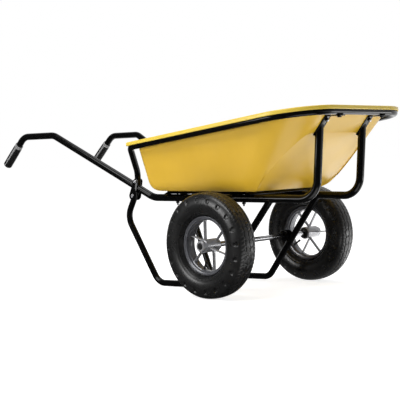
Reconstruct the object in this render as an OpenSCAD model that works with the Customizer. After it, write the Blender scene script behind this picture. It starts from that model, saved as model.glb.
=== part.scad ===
// Two wheel garden barrow: a bent tube chassis, a moulded tray and two pneumatic wheels.
// Millimetres. +X points to the nose, +Y to the left, +Z up, and the ground is at Z = 0.
// Stations along X are measured from the axle and moved by axle_x, so the origin is below the middle.

/* [Wheels] */
// Outside diameter of a tyre
tyre_d = 400; // [340:1:460]
// Width of a tyre
tyre_w = 100; // [84:1:120]
// Distance between the middle planes of the two tyres
track = 612; // [580:1:700]
// Depth of the blocks on the tyre shoulders
lug_depth = 7; // [3:0.5:10]
// Number of blocks on each tyre shoulder
lug_count = 20; // [12:1:28]
// Diameter over the rim flanges
rim_d = 222; // [205:1:240]
// Width over the rim flanges
rim_w = 52; // [46:1:62]
// Diameter of the opening inside the rim
rim_open_d = 190; // [160:1:194]
// Thickness of the rim's sheet
rim_sheet = 3; // [2:0.5:4]
// Diameter of the hub barrel
hub_d = 50; // [44:1:60]
// Length of the hub barrel
hub_len = 76; // [64:1:90]
// Diameter of the hub's end caps
cap_d = 44; // [42:1:50]
// Diameter of a spoke rod
spoke_d = 10; // [7:0.5:12]
// Number of spokes in a wheel
spoke_count = 6; // [4:2:10]
// Distance along the axle between the two rows of spokes at the hub
spoke_spread = 34; // [20:1:44]
// Distance along the axle between the two rows of spokes at the rim
spoke_meet = 6; // [0:1:12]
// Turn of the right wheel at rest
right_turn = 41; // [0:1:60]
// Turn of the left wheel at rest
left_turn = -65; // [-90:1:0]
// Diameter of the valve stem
valve_d = 9; // [7:0.5:10]
// Length of the valve stem that shows inside the rim
valve_len = 33; // [20:1:40]
// Turn of the valve from the first spoke
valve_turn = -149; // [-155:1:-145]

/* [Axle] */
// Diameter of the axle
axle_d = 20; // [16:0.5:24]
// Outside diameter of the hub bearings
bearing_d = 32; // [28:1:36]
// Length of a hub bearing
bearing_len = 22; // [14:1:30]
// Radial running clearance of the bearings on the axle
run_gap = 0.05; // [0.02:0.01:0.1]
// Side clearance between a hub and its thrust washers
side_gap = 0.4; // [0.3:0.1:1]
// Diameter of a thrust washer
thrust_d = 31; // [28:1:32]
// Thickness of a thrust washer
thrust_t = 3; // [2:0.5:4]
// Diameter of a retaining pin
pin_d = 4; // [3:0.5:5]
// Length of a retaining pin
pin_len = 31; // [26:1:33]
// Diameter of an axle saddle
saddle_d = 44; // [38:1:50]
// Width of an axle saddle along the axle
saddle_w = 36; // [24:1:50]

/* [Main tubes] */
// Diameter of the main tubes
tube_d = 30; // [26:0.5:34]
// Height of the straight run below the tray
run_z = 367; // [350:1:390]
// Station where the straight run begins behind the axle
run_rear_x = -436; // [-460:1:-400]
// Station of the bend below the nose
run_front_x = 373; // [350:1:395]
// Half spacing of the tubes at the start of the straight run
run_rear_y = 171; // [160:1:185]
// Half spacing of the tubes at the nose
run_front_y = 133; // [120:1:145]
// Forward lean of the uprights over their height
upright_lean = 18; // [0:1:25]
// Height of the level handle run
handle_z = 641; // [600:1:680]
// Station where the handle run begins
handle_front_x = -985; // [-1020:1:-940]
// Station where the handle turns down to the grip
handle_rear_x = -1186; // [-1220:1:-1150]
// Half spacing of the handles at the front of their level run
handle_front_y = 252; // [230:1:270]
// Half spacing of the handles at the grips
handle_rear_y = 266; // [250:1:290]
// Station of the grip's lower end
grip_x = -1327; // [-1350:1:-1300]
// Height of the grip's lower end
grip_z = 511; // [490:1:540]
// Bend radius at the grips and the front of the handles
handle_bend = 75; // [60:1:100]
// Bend radius at the rear of the straight run
run_bend = 95; // [70:1:120]
// Bend radius below the nose
nose_bend = 76; // [60:1:90]

/* [Grips] */
// Diameter of a grip at its middle
grip_d = 37; // [35:0.5:42]
// Length of a grip
grip_len = 138; // [120:1:145]
// Height of the grey inlay above the rubber
inlay_t = 0.8; // [0.4:0.1:1.5]
// Width of the grey collar at the grip's upper end
collar_w = 14; // [10:1:20]
// Angle of the grip that each grey stripe covers
stripe_angle = 30; // [16:1:40]
// Angle of the stripes from the top of the grip, to both sides
stripe_lean = 98; // [80:1:110]

/* [Legs] */
// Diameter of the leg tubes
leg_d = 26; // [22:0.5:28]
// Share of the descending main tube where the rear bracket sits
bracket_share = 0.85; // [0.8:0.01:0.88]
// Length of the leg from the main tube to its knee
knee_len = 137; // [120:1:150]
// Station of the rear foot corner
foot_x = -434; // [-460:1:-410]
// Station of the front foot corner
toe_x = -104; // [-130:1:-80]
// Half spacing of the ground rails
rail_y = 160; // [150:1:170]
// Rise of the ground rail from the foot to the toe
rail_rise = 12; // [6:1:20]
// Station where the leg meets the main tube in front of the axle
leg_front_x = 168; // [150:1:190]
// Bend radius of the knee
knee_bend = 80; // [60:1:90]
// Bend radius of the feet
foot_bend = 56; // [40:1:65]

/* [Rim tube] */
// Diameter of the rim tube
rim_tube_d = 26; // [22:0.5:28]
// Station of the rim tube's rear bends
rim_rear_x = -431; // [-450:1:-410]
// Station of the rim tube's front run
rim_front_x = 480; // [460:1:500]
// Half width over the tube's axis at the rear bends
rim_rear_y = 300; // [285:1:315]
// Half width over the tube's axis at the front corners
rim_front_y = 342; // [325:1:350]
// Height of the rim tube's axis at the rear bends
rim_rear_z = 577; // [565:1:590]
// Height of the rim tube's axis at the front
rim_front_z = 679; // [665:1:690]
// Bend radius of the front corners
rim_corner = 165; // [140:1:180]
// Bend radius of the rear bends
rim_rear_bend = 45; // [35:1:55]
// Height of the upright feet above the main tube's axis
rim_foot_h = 63; // [62:1:75]

/* [Tray] */
// Height of the tray's underside
tray_z = 396; // [392:1:400]
// Thickness of the tray's wall
tray_t = 4; // [3:0.5:5]
// Station of the floor's rear edge, before rounding
floor_rear_x = -402; // [-412:1:-385]
// Station where the slanted nose meets the floor, before rounding
floor_front_x = 153; // [135:1:165]
// Half width of the floor, before rounding
floor_half_w = 244; // [232:1:250]
// Corner radius at the rear of the floor
floor_corner = 50; // [46:1:70]
// Corner radius of the side walls where they turn to the nose, at floor height
nose_corner = 110; // [90:1:130]
// Size of the rounding between floor and walls
floor_round = 38; // [25:1:45]
// Height of the raised panel in the floor
panel_rise = 10; // [8:0.5:14]
// Width of the level border round the raised panel
panel_edge = 8; // [4:1:16]
// Room between a washer and the side of its pocket
pocket_gap = 5; // [3:0.5:8]
// Radius between floor and nose
nose_round = 60; // [40:1:80]
// Station of the crease across the nose
crease_x = 380; // [375:1:383]
// Depth of the crease across the nose, below the rim tube's axis
crease_drop = 73; // [60:1:84]
// Station of the nose's top edge
nose_top_x = 447; // [442:1:450]
// Distance from the rim tube's axis to the tray's side walls
wall_inset = 17; // [15:1:22]
// Distance from the rear bends to the rear wall's top edge
rear_inset = 3; // [1:1:12]
// Distance of the lip's outer face from the rim tube's axis
lip_out = 16; // [15:0.5:20]
// Height of the lip's outer face
lip_h = 15; // [12:0.5:18]
// Thickness of the lip's outer face
lip_t = 3; // [2:0.5:3]

/* [Brackets] */
// Thickness of the rear bracket's cheeks
cheek_t = 4; // [3:0.5:6]
// Radius of the cheeks' upper ends
cheek_top_r = 12; // [10:0.5:13]
// Radius of the cheeks' lower ends
cheek_r = 19; // [14:0.5:22]
// Height of the upper bolt above the main tube's axis
cheek_up = 26; // [25:1:30]
// Depth of the lower bolt below the main tube's axis
cheek_down = 38; // [32:1:45]
// Width of a nose strap
strap_w = 34; // [30:1:40]
// Thickness of a nose strap
strap_t = 4; // [3:0.5:6]
// Length of a nose strap below the tray's crease
strap_drop = 10; // [6:1:16]
// Share of the strap's slope where the tray's nose bolt sits
nose_bolt_share = 0.82; // [0.8:0.01:0.84]
// Station of the rear cross bar
rear_bar_x = -304; // [-315:1:-285]
// Station of the front cross bar
front_bar_x = 38; // [20:1:50]
// Width of a cross bar over its flanges
bar_w = 104; // [80:1:120]
// Width of a cross bar's crown
bar_crown_w = 64; // [50:1:76]
// Thickness of a cross bar's sheet
bar_t = 3; // [2:0.5:4]
// Overhang of a cross bar beyond the main tube's axis
bar_over = 24; // [20:1:30]

/* [Fasteners] */
// Diameter of the bolts
bolt_d = 8; // [6:0.5:10]
// Clearance of a bolt in its hole, on the diameter
bolt_gap = 0.4; // [0.2:0.1:1]
// Diameter of a bolt head
bolt_head_d = 18; // [14:0.5:20]
// Height of a bolt head
bolt_head_h = 5; // [4:0.5:7]
// Width of a nut over its corners
nut_d = 15; // [12:0.5:16]
// Height of a nut
nut_h = 6.5; // [5:0.5:8]
// Diameter of the tray washers
washer_d = 26; // [22:1:32]
// Thickness of the tray washers
washer_t = 2; // [1.5:0.5:3]
// Thread that shows below a nut
bolt_tail = 8; // [3:1:12]

/* [Hidden] */

// Sides of the barrow
right = -1;
left = 1;

// Facets of tubes, wheels and fasteners, and steps of a tray corner
tube_fn = 32;
wheel_fn = 80;
bolt_fn = 24;
corner_steps = 10;
round_steps = 5;

// Working values: an elbow is a hair thicker than its straights and runs past their ends
elbow_swell = tube_d / 300;
elbow_run = tube_d / 20;
// Cutters run past the faces they cut by this much
over = tube_d / 15;

// Vectors
function unit(v) = v / norm(v);
function mix(a, b, t) = a + (b - a) * t;
function side_of(w) = unit(cross(abs(w[1]) < 0.9 ? [0, 1, 0] : [1, 0, 0], w));
function pose(o, x, z) =
    let (y = cross(z, x))
    [[x[0], y[0], z[0], o[0]], [x[1], y[1], z[1], o[1]], [x[2], y[2], z[2], o[2]], [0, 0, 0, 1]];

// Bends: turn at the corner b, and the length that the bend takes from each straight
function turn_at(a, b, c) = acos(unit(b - a) * unit(c - b));
function trim_at(a, b, c, r) = r * tan(turn_at(a, b, c) / 2);

// Overall place of the axle
axle_z = tyre_d / 2;
grip_axis = unit([grip_x - handle_rear_x, 0, grip_z - handle_z]);
grip_edge = grip_d / 6;
rear_end_x = grip_x - (grip_d / 2 - grip_edge) * abs(grip_axis[2]) - grip_edge;
front_end_x = rim_front_x + lip_out;
axle_x = -(rear_end_x + front_end_x) / 2;

// A place given by its station from the axle, its half width and its height
function at(x, y, z) = [axle_x + x, y, z];

// Main tube corners
function run_y(x) = mix(run_rear_y, run_front_y, (x - run_rear_x) / (run_front_x - run_rear_x));
function grip_end(s) = at(grip_x, s * handle_rear_y, grip_z);
function handle_rear(s) = at(handle_rear_x, s * handle_rear_y, handle_z);
function handle_front(s) = at(handle_front_x, s * handle_front_y, handle_z);
function run_rear(s) = at(run_rear_x, s * run_rear_y, run_z);
function run_front(s) = at(run_front_x, s * run_front_y, run_z);
// The upright is drawn past the nose strap, which mitres it
upright_share = 1.2;
function upright_top(s) = run_front(s) + [upright_lean, 0, crease_z - run_z] * upright_share;

// Rear joint: a point on the descending tube, and the direction square to the tube in its upright plane
function joint(s) = mix(handle_front(s), run_rear(s), bracket_share);
function descent(s) = unit(run_rear(s) - handle_front(s));
function joint_up(s) = unit([0, 0, 1] - descent(s)[2] * descent(s));
function joint_side(s) = unit(cross(descent(s), joint_up(s)));

// Leg corners: the bend of the foot rests on the ground
rail_tilt = atan(rail_rise / (toe_x - foot_x));
function knee(s) = joint(s) - knee_len * joint_up(s);
function foot_at(s, z) = at(foot_x, s * rail_y, z);
function toe_at(s, z) = at(toe_x, s * rail_y, z + rail_rise);
foot_trim = trim_at(knee(left), foot_at(left, leg_d / 2), toe_at(left, leg_d / 2), foot_bend);
foot_z = leg_d / 2 + elbow_swell - foot_trim * sin(rail_tilt) + foot_bend * (1 - cos(rail_tilt));
function foot(s) = foot_at(s, foot_z);
function toe(s) = toe_at(s, foot_z);
function leg_front(s) = at(leg_front_x, s * run_y(leg_front_x), run_z);
leg_gap = leg_d / 13;

// Rim tube corners
function rim_z(x) = mix(rim_rear_z, rim_front_z, (x - rim_rear_x) / (rim_front_x - rim_rear_x));
rim_tilt = atan((rim_front_z - rim_rear_z) / (rim_front_x - rim_rear_x));
function rim_y(x) = mix(rim_rear_y, rim_front_y, (x - rim_rear_x) / (rim_front_x - rim_rear_x));
function rim_ankle(s) = joint(s) + [0, 0, rim_foot_h];
function rim_rear(s) = at(rim_rear_x, s * rim_rear_y, rim_rear_z);
function rim_front(s) = at(rim_front_x, s * rim_front_y, rim_front_z);
crease_z = rim_front_z - crease_drop;

// Cross bars stand on the main tubes
bar_z = run_z + tube_d / 2;
bar_h = tray_z - bar_z;
bolt_stations = [rear_bar_x, front_bar_x];
nut_z = run_z - tube_d / 2;

// Wheel sections
tyre_r = tyre_d / 2;
rim_r = rim_d / 2;
flange_h = (rim_d - rim_open_d) / 4;
seat_r = rim_r - flange_h;
seat_w = rim_w / 2 - rim_sheet;
well_r = rim_open_d / 2;
bead_gap = rim_sheet / 20;

// The tyre's section outside, in shares of the height from the rim's flange to the tread and of the half
// width, and inside, in shares of the height from the bead
tyre_outer_shares = [
    [0.02, 0.58], [0.07, 0.76], [0.16, 0.89], [0.3, 0.97], [0.49, 1], [0.69, 0.97], [0.83, 0.9],
    [0.92, 0.79], [0.97, 0.62], [0.97, 0.5], [0.94, 0.47], [0.94, 0.4], [0.985, 0.37], [1, 0.1]
];
tyre_inner_shares = [
    [0.89, 0.2], [0.86, 0.6], [0.76, 0.78], [0.56, 0.84], [0.36, 0.78], [0.24, 0.6], [0.17, 0.36]
];
tube_hollow_share = 0.9;

// A tray corner, and a closed outline of four rounded corners seen from above
function corner(x, y, r, from) =
    [for (i = [0 : corner_steps]) let (a = from + 90 * i / corner_steps) [x + r * cos(a), y + r * sin(a)]];
function outline(rear_x, front_x, rear_y, front_y, rear_r, front_r) = concat(
    corner(front_x - front_r, front_y - front_r, front_r, 0),
    corner(rear_x + rear_r, rear_y - rear_r, rear_r, 90),
    corner(rear_x + rear_r, rear_r - rear_y, rear_r, 180),
    corner(front_x - front_r, front_r - front_y, front_r, 270)
);

// The steep band over the nose rises from the crease to the flange. The walls are drawn as if the band
// went down to the floor, and the slanted nose then cuts them.
flange_z = rim_tube_d / 2 / cos(rim_tilt) + bead_gap;
band_angle = atan((rim_z(nose_top_x) + flange_z - crease_z) / (nose_top_x - crease_x));
deep_front_x = crease_x - (crease_z - tray_z) / tan(band_angle);

// Tray outlines, each pulled in by the distance d
wall_corner = rim_corner - wall_inset;
rear_corner = rim_rear_bend - lip_t;
wall_rear_x = rim_rear_x + rear_inset;
function floor_outline(d) = outline(
    floor_rear_x + d, deep_front_x - d, floor_half_w - d, floor_half_w - d,
    floor_corner - d / 2, nose_corner - d / 2);
function wall_outline(d) = outline(
    wall_rear_x + d, nose_top_x - d,
    rim_y(wall_rear_x + rear_corner) - wall_inset - d, rim_y(nose_top_x - wall_corner) - wall_inset - d,
    rear_corner - d, wall_corner - d);
function lip_outline(d) = outline(
    rim_rear_x - lip_out + d, rim_front_x + lip_out - d,
    rim_rear_y + lip_out - d, rim_y(rim_front_x - rim_corner) + lip_out - d,
    lip_out - d, rim_corner + lip_out - d);

// Tray rings: a flat ring, a ring parallel to the rim, and a ring between two others
function level(ring, z) = [for (p = ring) at(p[0], p[1], z)];
function along_rim(ring, h) = [for (p = ring) at(p[0], p[1], rim_z(p[0]) + h)];
function rings_mix(a, b, t) = [for (i = [0 : len(a) - 1]) mix(a[i], b[i], t)];
function reversed(list) = [for (i = [len(list) - 1 : -1 : 0]) list[i]];

// The rounding at the floor's edge leaves the tray's bolt pockets on the flat
pocket_r = washer_d / 2 + tray_t + pocket_gap;
bolt_flat = pocket_r + panel_edge;
floor_bend = min(
    floor_round, floor_half_w - run_y(rear_bar_x) - bolt_flat, deep_front_x - front_bar_x - bolt_flat);

// Walls from the flange down to the floor, with the floor's edge rounded
function wall_rings(d) =
    let (
        top = along_rim(wall_outline(d), flange_z),
        edge = level(floor_outline(d), tray_z + d),
        high = rings_mix(edge, top, floor_bend / (rim_rear_z - tray_z)),
        low = level(floor_outline(d + floor_bend), tray_z + d)
    )
    concat(
        [top],
        [for (i = [0 : round_steps])
            let (t = i / round_steps)
            rings_mix(rings_mix(high, edge, t), rings_mix(edge, low, t), t)]
    );

// The outside of the tray, from the top over the lip down to the floor, and the room inside
lip_crown_shares = [[0.12, 0.75], [0.5, 0.95], [0.85, 1], [0.97, 0.85]];
lip_top = tray_t + lip_t;
lip_low = flange_z + lip_top - lip_h;
skin_rings = concat(
    [along_rim(wall_outline(tray_t * 2), flange_z + lip_top / 2)],
    [for (c = lip_crown_shares)
        rings_mix(
            along_rim(wall_outline(tray_t), flange_z + lip_top * c[1]),
            along_rim(lip_outline(0), flange_z + lip_top * c[1]), c[0])],
    [along_rim(lip_outline(0), flange_z + lip_top / 2), along_rim(lip_outline(0), lip_low)],
    [along_rim(lip_outline(lip_t), lip_low), along_rim(lip_outline(lip_t), flange_z)],
    wall_rings(0)
);
room_rings = concat([along_rim(wall_outline(tray_t), flange_z + lip_top * 2)], wall_rings(tray_t));

// The raised panel of the floor, which lifts a load off the bolts
panel_half_w = floor_half_w - floor_bend - panel_edge;
panel_rear_x = floor_rear_x + floor_bend + panel_edge;
panel_front_x = floor_front_x - nose_round - panel_edge;
function panel_outline(d) = outline(
    panel_rear_x + d, panel_front_x - d, panel_half_w - d, panel_half_w - d,
    floor_corner - d, floor_corner - d);

// The slanted nose
nose_angle = atan((crease_z - tray_z) / (crease_x - floor_front_x));
nose_way = [cos(nose_angle), sin(nose_angle)];

// Nose strap: it lies on the steep band of the tray's nose and turns level under the rim tube
strap_way = [cos(band_angle), sin(band_angle)];
strap_top_z = rim_front_z - rim_tube_d / 2;
strap_top_x = crease_x + (strap_top_z - crease_z) / tan(band_angle);
strap_end_x = rim_front_x + rim_tube_d / 2;
strap_bolt_share = 0.6;
strap_bolt_len = strap_t + rim_tube_d * strap_bolt_share;

// The tray's nose bolts stand square on the strap
nose_bolt_x = mix(crease_x, strap_top_x, nose_bolt_share);
nose_bolt_z = mix(crease_z, strap_top_z, nose_bolt_share);
nose_rise_share = (nose_bolt_z - tray_z) / (rim_z(nose_top_x) + flange_z - tray_z);
nose_wall = tray_t * (sin(band_angle) + (1 - nose_rise_share) * cos(band_angle));
module on_nose(s) {
    translate(at(nose_bolt_x, s * run_front_y, nose_bolt_z)) rotate([0, -band_angle, 0]) children();
}

// A straight rod from a to b
module rod(a, b, d, fn = tube_fn) {
    multmatrix(pose(a, side_of(unit(b - a)), unit(b - a)))
        cylinder(h = norm(b - a), d = d, $fn = fn);
}

// The bend at b on the way from a to c
module elbow(a, b, c, r, d) {
    u = unit(b - a);
    w = unit(c - b);
    inward = unit(w - (w * u) * u);
    angle = turn_at(a, b, c);
    run = elbow_run / r * 180 / PI;
    centre = b - u * trim_at(a, b, c, r) + inward * r;
    multmatrix(pose(centre, -inward, cross(-inward, u)))
        rotate([0, 0, -run])
            rotate_extrude(angle = angle + 2 * run, $fn = tube_fn * 2)
                translate([r, 0])
                    circle(d = d + 2 * elbow_swell, $fn = tube_fn);
}

// A tube through the corners p, bent to the radius r at each
module bent_tube(p, r, d) {
    last = len(p) - 1;
    trims = [for (i = [0 : last]) i == 0 || i == last ? 0 : trim_at(p[i - 1], p[i], p[i + 1], r[i])];
    for (i = [0 : last - 1]) {
        way = unit(p[i + 1] - p[i]);
        rod(p[i] + way * trims[i], p[i + 1] - way * trims[i + 1], d);
    }
    for (i = [1 : last - 1]) elbow(p[i - 1], p[i], p[i + 1], r[i], d);
}

// Nose strap plane: everything above the strap's lower face
module above_strap(s) {
    translate(at(crease_x, s * run_front_y, crease_z))
        rotate([0, -band_angle, 0])
            translate([-tube_d * 2, -tube_d, -strap_t])
                cube([tube_d * 8, tube_d * 2, tube_d * 4]);
}

module main_tube(s) {
    color("#161616")
    difference() {
        bent_tube(
            [grip_end(s) - grip_edge * unit(grip_end(s) - handle_rear(s)), handle_rear(s), handle_front(s),
             run_rear(s), run_front(s), upright_top(s)],
            [0, handle_bend, handle_bend, run_bend, nose_bend, 0], tube_d);
        above_strap(s);
        for (x = bolt_stations)
            translate(at(x, s * run_y(x), run_z - tube_d))
                cylinder(h = tube_d * 2, d = bolt_d + bolt_gap, $fn = bolt_fn);
    }
}
module right_main_tube() { main_tube(right); }
module left_main_tube() { main_tube(left); }

// The bolts of a rear bracket: the foot's bolt above the main tube and the leg's bolt below it
function foot_bolt_at(s) = joint(s) + [0, 0, cheek_up];
function leg_bolt_at(s) = joint(s) - cheek_down * joint_up(s);
bracket_half = leg_d / 2 + cheek_t;
module bracket_hole(s, p) {
    side = joint_side(s);
    rod(p - side * bracket_half * 2, p + side * bracket_half * 2, bolt_d + bolt_gap, bolt_fn);
}

module leg(s) {
    color("#161616")
    difference() {
        bent_tube(
            [joint(s) - (tube_d / 2 + leg_gap) * joint_up(s), knee(s), foot(s), toe(s), leg_front(s)],
            [0, knee_bend, foot_bend, foot_bend, 0], leg_d);
        rod(run_rear(s), run_front(s), tube_d);
        bracket_hole(s, leg_bolt_at(s));
    }
}
module right_leg() { leg(right); }
module left_leg() { leg(left); }

module rim_tube() {
    color("#161616")
    difference() {
        bent_tube(
            [joint(right), rim_ankle(right), rim_rear(right), rim_front(right),
             rim_front(left), rim_rear(left), rim_ankle(left), joint(left)],
            [0, rim_rear_bend, rim_rear_bend, rim_corner,
             rim_corner, rim_rear_bend, rim_rear_bend, 0], rim_tube_d);
        for (s = [right, left]) {
            rod(handle_front(s), run_rear(s), tube_d + leg_gap);
            bracket_hole(s, foot_bolt_at(s));
            translate(at(rim_front_x, s * run_front_y, strap_top_z - over))
                cylinder(h = strap_bolt_len, d = bolt_d + bolt_gap, $fn = bolt_fn);
        }
    }
}

// One cheek plate in the plane of the descending tube, from bolt to bolt
module cheek(s, offset) {
    side = joint_side(s);
    a = foot_bolt_at(s) + side * offset;
    b = leg_bolt_at(s) + side * offset;
    way = unit(b - a);
    multmatrix(pose(a, way, side))
        linear_extrude(cheek_t)
            difference() {
                union() {
                    circle(r = cheek_top_r, $fn = tube_fn);
                    translate([norm(b - a), 0]) circle(r = cheek_r, $fn = tube_fn);
                    polygon([
                        [0, -cheek_top_r], [norm(b - a), -cheek_r], [norm(b - a), cheek_r], [0, cheek_top_r]
                    ]);
                }
                circle(d = bolt_d + bolt_gap, $fn = bolt_fn);
                translate([norm(b - a), 0]) circle(d = bolt_d + bolt_gap, $fn = bolt_fn);
            }
}
module rear_bracket(s) {
    color("#1a1a1a")
    difference() {
        for (offset = [leg_d / 2, -leg_d / 2 - cheek_t]) cheek(s, offset);
        rod(handle_front(s), run_rear(s), tube_d);
    }
}
module right_rear_bracket() { rear_bracket(right); }
module left_rear_bracket() { rear_bracket(left); }

// The hole of a nose bolt, through the strap and the tray's wall
module nose_hole(s) {
    on_nose(s)
        translate([0, 0, -strap_t * 2])
            cylinder(h = (strap_t + tray_t) * 2, d = bolt_d + bolt_gap, $fn = bolt_fn);
}

// A bent strap from the mitred upright to the underside of the rim tube
module nose_strap(s) {
    low = [crease_x, crease_z] - strap_way * strap_drop;
    under = [strap_way[1], -strap_way[0]] * strap_t;
    knuckle = strap_t * tan(band_angle / 2);
    color("#202020")
    difference() {
        translate(at(0, s * run_front_y + strap_w / 2, 0))
            rotate([90, 0, 0])
                linear_extrude(strap_w)
                    polygon([
                        low, low + under, [strap_top_x + knuckle, strap_top_z - strap_t],
                        [strap_end_x, strap_top_z - strap_t], [strap_end_x, strap_top_z],
                        [strap_top_x, strap_top_z]
                    ]);
        translate(at(rim_front_x, s * run_front_y, strap_top_z - strap_t * 2))
            cylinder(h = strap_t * 3, d = bolt_d + bolt_gap, $fn = bolt_fn);
        nose_hole(s);
    }
}
module right_nose_strap() { nose_strap(right); }
module left_nose_strap() { nose_strap(left); }

// A pressed hat section across both main tubes
module cross_bar(x) {
    half = run_y(x) + bar_over;
    foot_w = (bar_w - bar_crown_w) / 4;
    color("#141414")
    difference() {
        translate(at(x, half, bar_z))
            rotate([90, 0, 0])
                linear_extrude(half * 2)
                    polygon([
                        [-bar_w / 2, 0], [-bar_w / 2 + foot_w + bar_t, 0],
                        [-bar_crown_w / 2 + bar_t, bar_h - bar_t], [bar_crown_w / 2 - bar_t, bar_h - bar_t],
                        [bar_w / 2 - foot_w - bar_t, 0], [bar_w / 2, 0],
                        [bar_w / 2, bar_t], [bar_w / 2 - foot_w, bar_t], [bar_crown_w / 2, bar_h],
                        [-bar_crown_w / 2, bar_h], [-bar_w / 2 + foot_w, bar_t], [-bar_w / 2, bar_t]
                    ]);
        for (s = [right, left])
            translate(at(x, s * run_y(x), bar_z))
                cylinder(h = bar_h + over, d = bolt_d + bolt_gap, $fn = bolt_fn);
    }
}
module rear_cross_bar() { cross_bar(rear_bar_x); }
module front_cross_bar() { cross_bar(front_bar_x); }

// A round saddle that seats the axle against the back of a front leg
leg_axle_share = (axle_z - foot_z - rail_rise) / (run_z - foot_z - rail_rise);
function saddle_y(s) = mix(toe(s), leg_front(s), leg_axle_share)[1];
module axle_saddle(s) {
    color("#141414")
    difference() {
        translate(at(0, saddle_y(s) + saddle_w / 2, axle_z))
            rotate([90, 0, 0]) cylinder(h = saddle_w, d = saddle_d, $fn = tube_fn * 2);
        rod(toe(s), leg_front(s), leg_d);
        translate(at(0, saddle_y(s) + saddle_w, axle_z))
            rotate([90, 0, 0]) cylinder(h = saddle_w * 2, d = axle_d, $fn = tube_fn);
    }
}
module right_axle_saddle() { axle_saddle(right); }
module left_axle_saddle() { axle_saddle(left); }

// The fixed axle, and what holds the wheels on it
thrust_in = hub_len / 2 + side_gap + thrust_t;
pin_at = thrust_in + pin_d / 2;
axle_stub = thrust_in + pin_d * 2;
module axle() {
    color("#c8c8cc")
    difference() {
        translate(at(0, track / 2 + axle_stub, axle_z))
            rotate([90, 0, 0]) cylinder(h = track + axle_stub * 2, d = axle_d, $fn = tube_fn);
        for (s = [right, left])
            translate(at(0, s * (track / 2 + pin_at), axle_z - axle_d))
                cylinder(h = axle_d * 2, d = pin_d, $fn = bolt_fn);
    }
}
module thrust_washers() {
    color("#b0b0b4")
    for (y = [track / 2 + thrust_in, track / 2 - thrust_in + thrust_t], s = [right, left])
        translate(at(0, s * (y - thrust_t / 2) + thrust_t / 2, axle_z))
            rotate([90, 0, 0])
                difference() {
                    cylinder(h = thrust_t, d = thrust_d, $fn = tube_fn);
                    translate([0, 0, -over]) cylinder(h = thrust_t + over * 2, d = axle_d, $fn = tube_fn);
                }
}
module retaining_pins() {
    color("#a8a8ac")
    for (s = [right, left])
        translate(at(0, s * (track / 2 + pin_at), axle_z - pin_len / 2))
            cylinder(h = pin_len, d = pin_d, $fn = bolt_fn);
}

// A solid between rings that lie one below the other
module loft(rings) {
    n = len(rings[0]);
    last = len(rings) - 1;
    bands = [
        for (k = [0 : last - 1], j = [0 : n - 1])
            let (a = k * n + j, b = k * n + (j + 1) % n)
            each [[a, b, b + n], [a, b + n, a + n]]
    ];
    ends = [[for (j = [n - 1 : -1 : 0]) j], [for (j = [0 : n - 1]) last * n + j]];
    polyhedron(points = [for (ring = rings, p = ring) p], faces = concat(bands, ends), convexity = 8);
}

// What lies in front of the slanted nose, whose face is pushed in by d
module before_nose(d) {
    r = nose_round - d;
    hinge = [floor_front_x - nose_round * tan(nose_angle / 2), tray_z + nose_round];
    bend = [for (i = [0 : round_steps]) let (a = nose_angle * i / round_steps) hinge + r * [sin(a), -cos(a)]];
    up = bend[round_steps] + nose_way * (crease_z - tray_z) / sin(nose_angle);
    translate(at(0, rim_front_y, 0))
        rotate([90, 0, 0])
            linear_extrude(rim_front_y * 2)
                polygon(concat([[hinge[0], tray_z - over]], bend, [up, [up[0], tray_z - over]]));
}
// The floor's raised panel, with a round pocket at each bolt, pulled in by d
module panel(h, d) {
    translate(at(0, 0, tray_z))
        linear_extrude(h)
            difference() {
                polygon(panel_outline(d));
                for (x = bolt_stations, s = [right, left])
                    translate([x, s * run_y(x)]) circle(r = pocket_r - tray_t + d, $fn = tube_fn);
            }
}
module tray() {
    color("#e0b23a")
    difference() {
        union() {
            difference() {
                loft(skin_rings);
                before_nose(0);
                difference() {
                    loft(room_rings);
                    before_nose(tray_t);
                }
            }
            panel(panel_rise + tray_t, 0);
        }
        translate([0, 0, -over]) panel(panel_rise + over, tray_t);
        for (x = bolt_stations, s = [right, left])
            translate(at(x, s * run_y(x), tray_z - over))
                cylinder(h = tray_t + over * 2, d = bolt_d + bolt_gap, $fn = bolt_fn);
        for (s = [right, left]) nose_hole(s);
    }
}

// A bolt along +Z: its head sits above the origin and its shank hangs below
head_shares = [[0, 0], [0.5, 0], [0.5, 0.4], [0.32, 1], [0, 1]];
module bolt(len, head_d = bolt_head_d) {
    translate([0, 0, -len]) cylinder(h = len + bolt_head_h / 2, d = bolt_d, $fn = bolt_fn);
    rotate_extrude($fn = bolt_fn) polygon([for (p = head_shares) [p[0] * head_d, p[1] * bolt_head_h]]);
}
module nut() {
    difference() {
        cylinder(h = nut_h, d = nut_d, $fn = 6);
        translate([0, 0, -over]) cylinder(h = nut_h + over * 2, d = bolt_d + bolt_gap, $fn = bolt_fn);
    }
}
module tray_bolts() {
    color("#8c8c90")
    for (x = bolt_stations, s = [right, left])
        translate(at(x, s * run_y(x), tray_z + tray_t + washer_t))
            bolt(tray_z + tray_t + washer_t - nut_z + nut_h + bolt_tail);
}
module tray_washers() {
    color("#9a9a9e")
    for (x = bolt_stations, s = [right, left])
        translate(at(x, s * run_y(x), tray_z + tray_t))
            difference() {
                cylinder(h = washer_t, d = washer_d, $fn = tube_fn);
                translate([0, 0, -over])
                    cylinder(h = washer_t + over * 2, d = bolt_d + bolt_gap, $fn = bolt_fn);
            }
}
module tray_nuts() {
    color("#2a2a2c")
    for (x = bolt_stations, s = [right, left])
        translate(at(x, s * run_y(x), nut_z - nut_h)) nut();
}

// Nose bolts have their heads inside the tray and their nuts under the strap
module nose_bolts() {
    color("#8c8c90")
    for (s = [right, left])
        on_nose(s) translate([0, 0, nose_wall]) bolt(nose_wall + strap_t + nut_h + bolt_tail / 2);
}
module nose_nuts() {
    color("#2a2a2c")
    for (s = [right, left]) on_nose(s) translate([0, 0, -strap_t - nut_h]) nut();
}

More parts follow.
